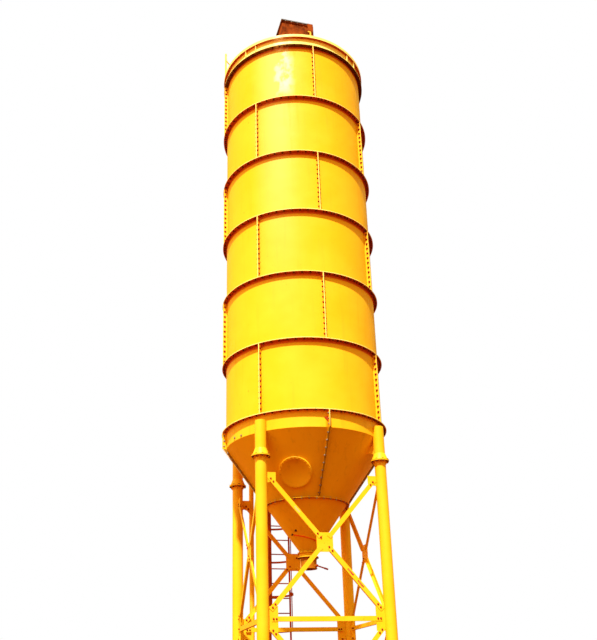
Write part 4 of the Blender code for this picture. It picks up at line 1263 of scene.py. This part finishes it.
class SILO_OT_filter(bpy.types.Operator):
    """Make the dust filter on the roof's crown"""

    bl_idname = "silo.filter"
    bl_label = "Dust filter"

    def execute(self, context):
        shell, top = context.scene.silo_shell, context.scene.silo_top
        low = roof_seat() + top.roof_rise + shell.sheet + 0.0009
        lid = shell.rim_height + top.filter_top - 0.035
        side, height = top.filter_side, lid - low - GAP
        front = -0.5 * side
        piece = open_piece("filter_body")
        slab((side, side, height), beside(0.0, 0.0, low + 0.5 * height), edge=0.008)
        for share in (0.02, 0.52, 0.97):
            slab((side + 0.05, side + 0.05, 0.014), beside(0.0, 0.0, low + share * height), edge=0.003)
        self.fan(side, lid)
        for number in range(4):
            x = front + 0.075 + 0.15 * number
            slab((0.02, 0.012, 0.44 * height), beside(x, front - 0.005, low + 0.75 * height), edge=0.003)
        swing_all(top.filter_azimuth)
        close_piece(piece, "filter_brown", replaced=["filter_housing"])
        cover = open_piece("filter_cover")
        slab((side + 0.03, side + 0.03, 0.034), beside(0.0, 0.0, lid + 0.018), edge=0.006)
        for number in range(4):
            x = front + 0.09 + 0.14 * number
            slab((0.035, 0.012, 0.05), beside(x, front - 0.014, lid + 0.005), edge=0.003)
        swing_all(top.filter_azimuth)
        close_piece(cover, "lid_grey", replaced=["filter_lid"])
        self.lug(side, lid, top.filter_azimuth)
        return {"FINISHED"}

    def fan(self, side, lid):
        """Fan box as deep as the housing, with a cowl that rises beside the lid."""
        width, depth, height = 0.17, 0.59, 0.62
        middle = beside(0.5 * (side + width) - 0.002, 0.0, lid - GAP - 0.5 * height)
        slab((width, depth, height), middle, edge=0.008)
        inner, outer = 0.5 * side + 0.0165, 0.5 * side + width - 0.007
        low, high = lid - 0.05, lid + 0.065
        middle = beside(0.5 * (inner + outer), 0.0, 0.5 * (low + high))
        slab((outer - inner, depth - 0.01, high - low), middle, edge=0.006)

    def lug(self, side, lid, azimuth):
        """Small yellow hook on the front of the fan box."""
        piece = open_piece("filter_lug")
        x, y = 0.5 * side + 0.085, -0.5 * side - 0.008
        slab((0.035, 0.024, 0.11), beside(x, y, lid - 0.27), edge=0.003)
        slab((0.075, 0.024, 0.03), beside(x - 0.02, y, lid - 0.215), edge=0.003)
        swing_all(azimuth)
        close_piece(piece, "roof_yellow")


class SILO_OT_legs(bpy.types.Operator):
    """Make the legs, their upper pieces and flange bolts"""

    bl_idname = "silo.legs"
    bl_label = "Legs"

    def execute(self, context):
        shell, legs = context.scene.silo_shell, context.scene.silo_legs
        stand_round((
            (self.stub(shell, legs), "leg_top", "yellow_paint", "leg_stub"),
            (self.leg(legs), "leg_tube", "yellow_paint", "leg"),
            (self.bolts(legs), "leg_bolts", "dark_steel", None),
        ), legs.azimuths)
        return {"FINISHED"}

    def stub(self, shell, legs):
        """Upper piece with its skirt and flange, and the web that holds it to the collar."""
        piece = open_piece("leg_top_1")
        tube, top, flange = legs.radius, below(legs.stub_drop), below(legs.flange_top_drop)
        joint = below(0.5 * (legs.flange_top_drop + legs.flange_drop)) + 0.0002
        lathe((
            (0.0, top), (tube - 0.004, top), (tube, below(legs.stub_drop + 0.004)),
            (tube, below(legs.skirt_drop - 0.004)), (tube + 0.003, below(legs.skirt_drop)),
            (legs.skirt_radius, flange), (legs.flange_radius, flange),
            (legs.flange_radius, joint), (0.0, joint),
        ), 40, polar(legs.circle, 0.0, 0.0), is_ring=False)
        outer, high, low = legs.circle - tube + 0.01, 0.40, 0.58
        inner = cone_radius(high) - 0.01, cone_radius(low) - 0.01
        corners = ((outer, high), (outer, low + 0.04), (inner[1], low), (inner[0], high))
        half = Vector((0.5 * shell.plate, 0.0, 0.0))
        rib([polar(radius, 0.0, below(drop)) for radius, drop in corners], half)
        return close_piece(piece, "leg_yellow", edge=0.002, replaced=["leg_stub_1"])

    def leg(self, legs):
        """Tube with its foot plate and flange, and ribs at both ends."""
        piece = open_piece("leg_tube_1")
        centre, tube, flange = polar(legs.circle, 0.0, 0.0), legs.radius, below(legs.flange_drop)
        joint = below(0.5 * (legs.flange_top_drop + legs.flange_drop)) - 0.0002
        lathe((
            (0.0, 0.5 * legs.foot_plate), (tube + 0.008, legs.foot_plate - 0.001),
            (tube, legs.foot_plate + 0.008), (tube, below(legs.flange_drop + 0.006)),
            (tube + 0.006, flange), (legs.flange_radius, flange),
            (legs.flange_radius, joint), (0.0, joint),
        ), 40, centre, is_ring=False)
        foot = Vector((0.0, 0.0, 0.5 * legs.foot_plate))
        slab((legs.foot_side, legs.foot_side, legs.foot_plate), centre + foot, edge=0.003)
        foot_rib = ((-0.09, 0.018), (-0.195, 0.018), (-0.195, 0.03), (-0.09, 0.16))
        root, high = 0.01 - tube, flange + 0.002
        skirt_rib = ((root, high), (-legs.skirt_radius, high), (root, below(legs.lower_skirt_drop)))
        for outline, count, first in ((foot_rib, 4, 0.0), (skirt_rib, 8, 22.5)):
            for number in range(count):
                rib([centre + Vector((0.0, y, z)) for y, z in outline], Vector((0.004, 0.0, 0.0)))
                swing(360.0 / count * number + first, "Z", centre)
        return close_piece(piece, "leg_yellow", edge=0.002, replaced=["leg_1"])

    def bolts(self, legs):
        """Eight bolts round the leg flange, and four on the foot plate."""
        piece = open_piece("leg_bolts_1")
        centre = polar(legs.circle, 0.0, 0.0)
        grip = legs.flange_drop - legs.flange_top_drop
        fastener(piece, 0.0155, grip)
        move(centre + Vector((0.0, 0.019 - legs.flange_radius, below(legs.flange_top_drop + 0.5 * grip))))
        revolve(315.0, 7, centre, copies=True)
        for x, y in ((-0.165, -0.165), (-0.165, 0.165), (0.165, -0.165), (0.165, 0.165)):
            fastener(piece, 0.014, 0.0, has_nut=False)
            move(centre + Vector((x, y, legs.foot_plate)))
        return close_piece(piece, "weathered_bolt")


class SILO_OT_bracing(bpy.types.Operator):
    """Paint the bracing frames and bolt them"""

    bl_idname = "silo.bracing"
    bl_label = "Bracing"

    def execute(self, context):
        legs = context.scene.silo_legs
        for node in ("bracing_1", "bracing_2", "bracing_3", "bracing_4", "pipe_bracket"):
            dress(bpy.data.objects[node], "brace_yellow")
        face = legs.circle * math.cos(math.radians(45.0))
        self.wear(face, legs)
        piece = open_piece("bracing_bolts_1")
        for x, drop in self.spots(legs):
            place = polar(face + 0.003, 0.0, below(drop)) + Vector((x, 0.0, 0.0))
            level_fastener(piece, 0.0135, 0.022, place, "X")
        close_piece(piece, "red_bolt")
        between = [azimuth + 45.0 for azimuth in legs.azimuths]
        stand_round(((piece, "bracing_bolts", "dark_steel", None),), between)
        return {"FINISHED"}

    def spots(self, legs):
        """Places of the bolts on one frame: at the crossings, the arms' ends and the beam's ends."""
        spots = []
        for middle in (legs.brace_centre_drop, 2.0 * legs.beam_drop - legs.brace_centre_drop):
            for left, down in ((-1.0, -1.0), (1.0, 1.0), (1.0, -1.0), (-1.0, 1.0)):
                for reach in (0.07, 0.125, 0.885, 0.93) if left == down else (0.885, 0.93):
                    spots.append((left * reach, middle + down * legs.brace_slope * reach))
        return spots + [(x, legs.beam_drop) for x in (-0.87, -0.92, 0.87, 0.92)]

    def wear(self, face, legs):
        """Thin flakes on the front frame where the paint has gone from the arms."""
        lean = math.degrees(math.atan(legs.brace_slope))
        for name, flakes, finish in (
            ("worn_arm_marks", ((0.43, 0.15, 0.030), (0.60, 0.15, 0.028)), "worn_red"),
            ("worn_arm_patch", ((-0.475, 0.13, 0.035),), "pale_wear_and_lit_edge"),
        ):
            piece = open_piece(name)
            for x, run, width in flakes:
                height = below(legs.brace_centre_drop + legs.brace_slope * x)
                slab((run, 0.0006, width), ORIGIN, edge=0.0)
                swing(lean, "Y", ORIGIN)
                move(polar(face + 0.0124, 0.0, height) + Vector((x, 0.0, 0.0)))
                swing(legs.azimuths[0] + 45.0)
            close_piece(piece, finish)


class SILO_OT_ladder(bpy.types.Operator):
    """Make the ladder and its safety cage"""

    bl_idname = "silo.ladder"
    bl_label = "Ladder and cage"

    def execute(self, context):
        self.ladder(context.scene.silo_shell, context.scene.silo_access)
        self.cage(context.scene.silo_access)
        return {"FINISHED"}

    def stand(self, access):
        """Carry what was modelled about the origin, facing the axis, to the ladder's place."""
        swing_all(access.ladder_azimuth + 180.0, "Z", ORIGIN)
        move(polar(access.ladder_distance, access.ladder_azimuth, 0.0))

    def ladder(self, shell, access):
        """Angle rails, round rungs, and a stay to each ring joint from both rails."""
        piece = open_piece("ladder_frame")
        half = 0.5 * access.ladder_width
        rise = access.ladder_top - access.ladder_bottom
        middle = access.ladder_bottom + 0.5 * rise
        for side in (-1.0, 1.0):
            slab((0.010, 0.05, rise), (side * half, 0.0, middle), edge=0.002)
            slab((0.036, 0.008, rise - 0.01), (side * (half - 0.014), -0.020, middle), edge=0.001)
        count = int((access.ladder_top - access.first_rung) / access.rung_pitch)
        rung = Vector((0.0, 0.0, access.first_rung))
        rod(12, 0.0115, access.ladder_width + 0.012, rung, (0.0, math.radians(90.0), 0.0))
        repeat_up(count - 1, access.rung_pitch)
        reach = access.ladder_distance - shell.wall_radius - 0.04
        for level in range(shell.courses + 1):
            z = shell.rim_height + level * shell.course_pitch + 2.0 * shell.plate + 0.0056
            for side in (-1.0, 1.0):
                slab((0.04, reach, 0.010), (side * half, -0.5 * reach, z), edge=0.002)
        self.stand(access)
        close_piece(piece, "ladder_rust", replaced=["ladder"])

    def cage(self, access):
        """Open hoops from rail to rail, with three upright bars inside them."""
        piece = open_piece("cage_hoops")
        radius = access.cage_radius
        rail = 0.5 * access.ladder_width + 0.0053
        half = math.degrees(math.pi - math.asin(rail / radius))
        centre = Vector((0.0, math.sqrt(radius**2 - rail**2), 0.0))
        turn = math.radians(half)
        low, width = access.cage_bottom, 0.04
        corners = ((radius, low), (radius + 0.006, low), (radius + 0.006, low + width), (radius, low + width))
        fill_outline([centre + Vector((r * math.sin(turn), r * math.cos(turn), z)) for r, z in corners])
        revolve(2.0 * half, 40, centre)
        tidy_selection()
        hoops = int((access.ladder_top - low - width) / access.hoop_pitch)
        repeat_up(hoops, access.hoop_pitch)
        rise = hoops * access.hoop_pitch + width
        for number in range(3):
            slab((0.04, 0.005, rise), (0.0, 0.0, low + 0.5 * rise), edge=0.001)
            move(Vector((0.0, radius - 0.0024, 0.0)))
            swing(0.93 * half * (1.0 - number), "Z", ORIGIN)
            move(centre)
        self.stand(access)
        close_piece(piece, "ladder_rust", replaced=["ladder_cage"])


class SILO_OT_pipes(bpy.types.Operator):
    """Make the filling pipe, the air hose and its nozzles"""

    bl_idname = "silo.pipes"
    bl_label = "Pipes"

    def execute(self, context):
        self.filling_pipe(context.scene)
        self.air_hose(context.scene.silo_access)
        self.nozzles()
        return {"FINISHED"}

    def tube(self, name, route, radius, sides):
        """A round bar along a route, as a curve that is then made a mesh."""
        curve = bpy.data.curves.new(name, "CURVE")
        curve.dimensions = "3D"
        curve.bevel_depth = radius
        curve.bevel_resolution = sides
        curve.use_fill_caps = True
        spline = curve.splines.new("POLY")
        spline.points.add(len(route) - 1)
        for point, place in zip(spline.points, route):
            point.co = (*place, 1.0)
        piece = bpy.data.objects.new(name, curve)
        bpy.context.scene.collection.objects.link(piece)
        make_active(piece)
        bpy.ops.object.convert(target="MESH")
        bpy.ops.object.mode_set(mode="EDIT")
        return bpy.context.object

    def pipe_route(self, shell, top, access, foot):
        """Up beside the ladder, inwards over the roof and down on to it, with round bends."""
        bend, entry, steps = 0.28, 0.95, 12
        rise = roof_seat() + 0.62
        shoulder = top.roof_radius - top.roof_rim
        climb = top.roof_rise * (shoulder - entry + access.pipe_radius) / (shoulder - top.crown_radius)
        over = -foot.normalized() * (foot.length - entry)
        corners = [
            AXIS + foot + Vector((0.0, 0.0, access.pipe_bottom)),
            AXIS + foot + Vector((0.0, 0.0, rise)),
            AXIS + foot + over + Vector((0.0, 0.0, rise)),
            AXIS + foot + over + Vector((0.0, 0.0, roof_seat() + shell.sheet + climb)),
        ]
        route = [corners[0]]
        for before, corner, after in zip(corners, corners[1:], corners[2:]):
            arrive = corner + (before - corner).normalized() * bend
            leave = corner + (after - corner).normalized() * bend
            for step in range(steps + 1):
                share = step / steps
                route.append(arrive.lerp(corner, share).lerp(corner.lerp(leave, share), share))
        return route + [corners[-1]]

    def filling_pipe(self, scene):
        """The pipe with three collars, and the hose coupling with its two ears at the foot."""
        access = scene.silo_access
        foot = Vector((-1.12, 1.30, 0.0))
        radius, centre, low = access.pipe_radius, AXIS + foot, access.pipe_bottom
        route = self.pipe_route(scene.silo_shell, scene.silo_top, access, foot)
        piece = self.tube("filling_pipe", route, radius, 6)
        root, rim, thick = radius - 0.004, radius + 0.032, 0.026
        for z in (6.5, 9.5, 12.5):
            lathe(((root, z), (rim, z), (rim, z + thick), (root, z + thick)), 28, centre)
        coupling = (
            (-0.004, 0.001), (0.018, 0.001), (0.018, 0.05), (0.007, 0.06),
            (0.007, 0.10), (0.014, 0.11), (0.014, 0.13), (-0.004, 0.14),
        )
        lathe([(radius + proud, low + z) for proud, z in coupling], 28, centre)
        for side in (-1.0, 1.0):
            slab((0.012, 0.03, 0.10), centre + Vector((side * (radius + 0.026), 0.0, low + 0.07)), edge=0.003)
        close_piece(piece, "pipe_yellow", replaced=["fill_pipe"])

    def air_hose(self, access):
        """The hose laid round the lower cone, falling to the right."""
        high, fall, start, sweep, steps = 1.945, 0.122, -46.0, 86.0, 40
        route = []
        for step in range(steps + 1):
            share = step / steps
            drop = high + fall * share
            radius = cone_radius(drop) + access.hose_radius * 1.3
            route.append(polar(radius, start + sweep * share, below(drop)))
        piece = self.tube("red_air_hose", route, access.hose_radius, 4)
        close_piece(piece, "red_hose", replaced=["air_line"])

    def nozzles(self):
        """Three stepped aeration nozzles on the lower cone."""
        piece = open_piece("aeration_nozzles")
        outline = (
            (0.0, -0.01), (0.020, -0.01), (0.020, 0.012), (0.014, 0.014),
            (0.014, 0.034), (0.009, 0.038), (0.0, 0.038),
        )
        for azimuth, drop in ((-49.0, 1.932), (-31.8, 1.877), (131.0, 1.90)):
            lathe(outline, 16, ORIGIN, is_ring=False)
            lay_on_cone(drop, azimuth)
        close_piece(piece, "weathered_bolt")


class SILO_OT_stage(bpy.types.Operator):
    """Set the floor, the lights and the camera"""

    bl_idname = "silo.stage"
    bl_label = "Stage"

    def execute(self, context):
        light = context.scene.silo_light
        self.floor(light)
        self.world(context.scene, light)
        self.sun(context.scene, light)
        self.camera(context.scene, light)
        return {"FINISHED"}

    def floor(self, light):
        material, tree, shader = new_material("studio_floor", 0.9)
        shade = range_node(tree, noise_node(tree, object_place(tree), 0.8, 4.0), 0.3, 0.7, 0.96, 1.0)
        tree.links.new(mix_node(tree, 1.0, light.floor, shade, "MULTIPLY"), shader.inputs["Base Color"])
        piece = open_piece("studio_floor")
        bpy.ops.mesh.primitive_circle_add(
            vertices=96, radius=60.0, fill_type="NGON", location=(0.0, 0.0, -0.002)
        )
        bpy.ops.object.mode_set(mode="OBJECT")
        piece.data.materials.append(material)
        piece.visible_diffuse = False
        piece.visible_glossy = False

    def world(self, scene, light):
        """White for the camera, warm from below and soft from above for the silo."""
        world = bpy.data.worlds.new("studio")
        scene.world = world
        world.use_nodes = True
        tree = world.node_tree
        tree.nodes.clear()
        way = split(tree, tree.nodes.new("ShaderNodeTexCoord").outputs["Generated"])
        side = mix_node(tree, range_node(tree, way["Z"], -0.42, -0.12), light.low_fill, light.side_fill)
        sky = mix_node(tree, range_node(tree, way["X"], -0.8, 0.0), light.left_fill, light.high_fill)
        fill = tree.nodes.new("ShaderNodeBackground")
        feed(tree, fill.inputs["Color"], mix_node(tree, range_node(tree, way["Z"], 0.02, 0.30), side, sky))
        feed(tree, fill.inputs["Strength"], range_node(tree, way["X"], -1.0, 1.0, 1.12, 0.76))
        plain = tree.nodes.new("ShaderNodeBackground")
        plain.inputs["Color"].default_value = (1.0, 1.0, 1.0, 1.0)
        switch = tree.nodes.new("ShaderNodeMixShader")
        for index, socket in enumerate((
            tree.nodes.new("ShaderNodeLightPath").outputs["Is Camera Ray"], fill.outputs[0], plain.outputs[0],
        )):
            tree.links.new(socket, switch.inputs[index])
        tree.links.new(switch.outputs[0], tree.nodes.new("ShaderNodeOutputWorld").inputs["Surface"])

    def sun(self, scene, light):
        data = bpy.data.lights.new("key", "SUN")
        data.energy = light.sun_strength
        data.angle = math.radians(2.5)
        lamp = bpy.data.objects.new("key", data)
        scene.collection.objects.link(lamp)
        rise, side = math.radians(light.sun_elevation), math.radians(light.sun_azimuth)
        towards = Vector((math.sin(side) * math.cos(rise), -math.cos(side) * math.cos(rise), math.sin(rise)))
        lamp.rotation_euler = towards.to_track_quat("Z", "Y").to_euler()
        lamp.location = towards * 30.0

    def camera(self, scene, light):
        """The photograph's view: pitch and roll about the camera's own place."""
        data = bpy.data.cameras.new("camera")
        picture_height = 640.0
        data.sensor_width = 36.0
        data.lens = light.focal_pixels / picture_height * data.sensor_width
        data.shift_y = light.camera_shift
        data.clip_end = 500.0
        camera = bpy.data.objects.new("camera", data)
        scene.collection.objects.link(camera)
        yaw, pitch = math.radians(light.camera_yaw), math.radians(light.camera_pitch)
        roll = math.radians(light.camera_roll)
        forward = Vector((math.sin(yaw) * math.cos(pitch), math.cos(yaw) * math.cos(pitch), math.sin(pitch)))
        right = Vector((math.cos(yaw), -math.sin(yaw), 0.0))
        upward = right.cross(forward)
        turned_right = right * math.cos(roll) + upward * math.sin(roll)
        turned_up = upward * math.cos(roll) - right * math.sin(roll)
        turn = Matrix((turned_right, turned_up, -forward)).transposed().to_4x4()
        place = Vector((0.0, AXIS.y - light.camera_distance, light.camera_height))
        camera.matrix_world = Matrix.Translation(place) @ turn
        scene.camera = camera
        scene.view_settings.view_transform = "Standard"


class SILO_PT_panel(bpy.types.Panel):
    """The silo's pieces and sizes"""

    bl_idname = "SILO_PT_panel"
    bl_label = "Cement silo"
    bl_space_type = "VIEW_3D"
    bl_region_type = "UI"
    bl_category = "Silo"

    def draw(self, context):
        layout = self.layout
        for operator in OPERATORS:
            layout.operator(operator.bl_idname)
        for key, group in GROUPS.items():
            column = layout.column()
            column.label(text=group.__doc__)
            for name in group.__annotations__:
                column.prop(getattr(context.scene, key), name)


OPERATORS = (
    SILO_OT_finishes,
    SILO_OT_course_sheets,
    SILO_OT_shell_bolts,
    SILO_OT_hopper,
    SILO_OT_hatch,
    SILO_OT_valve,
    SILO_OT_roof,
    SILO_OT_filter,
    SILO_OT_legs,
    SILO_OT_bracing,
    SILO_OT_ladder,
    SILO_OT_pipes,
    SILO_OT_stage,
)


def register():
    for group in GROUPS.values():
        bpy.utils.register_class(group)
    for key, group in GROUPS.items():
        setattr(bpy.types.Scene, key, PointerProperty(type=group))
    for operator in OPERATORS:
        bpy.utils.register_class(operator)
    bpy.utils.register_class(SILO_PT_panel)


def unregister():
    bpy.utils.unregister_class(SILO_PT_panel)
    for operator in reversed(OPERATORS):
        bpy.utils.unregister_class(operator)
    for key in GROUPS:
        delattr(bpy.types.Scene, key)
    for group in reversed(GROUPS.values()):
        bpy.utils.unregister_class(group)


def main():
    register()
    bpy.ops.silo.finishes()
    bpy.ops.silo.course_sheets()
    bpy.ops.silo.shell_bolts()
    bpy.ops.silo.hopper()
    bpy.ops.silo.hatch()
    bpy.ops.silo.valve()
    bpy.ops.silo.roof()
    bpy.ops.silo.filter()
    bpy.ops.silo.legs()
    bpy.ops.silo.bracing()
    bpy.ops.silo.ladder()
    bpy.ops.silo.pipes()
    bpy.ops.silo.stage()


if __name__ == "__main__":
    main()
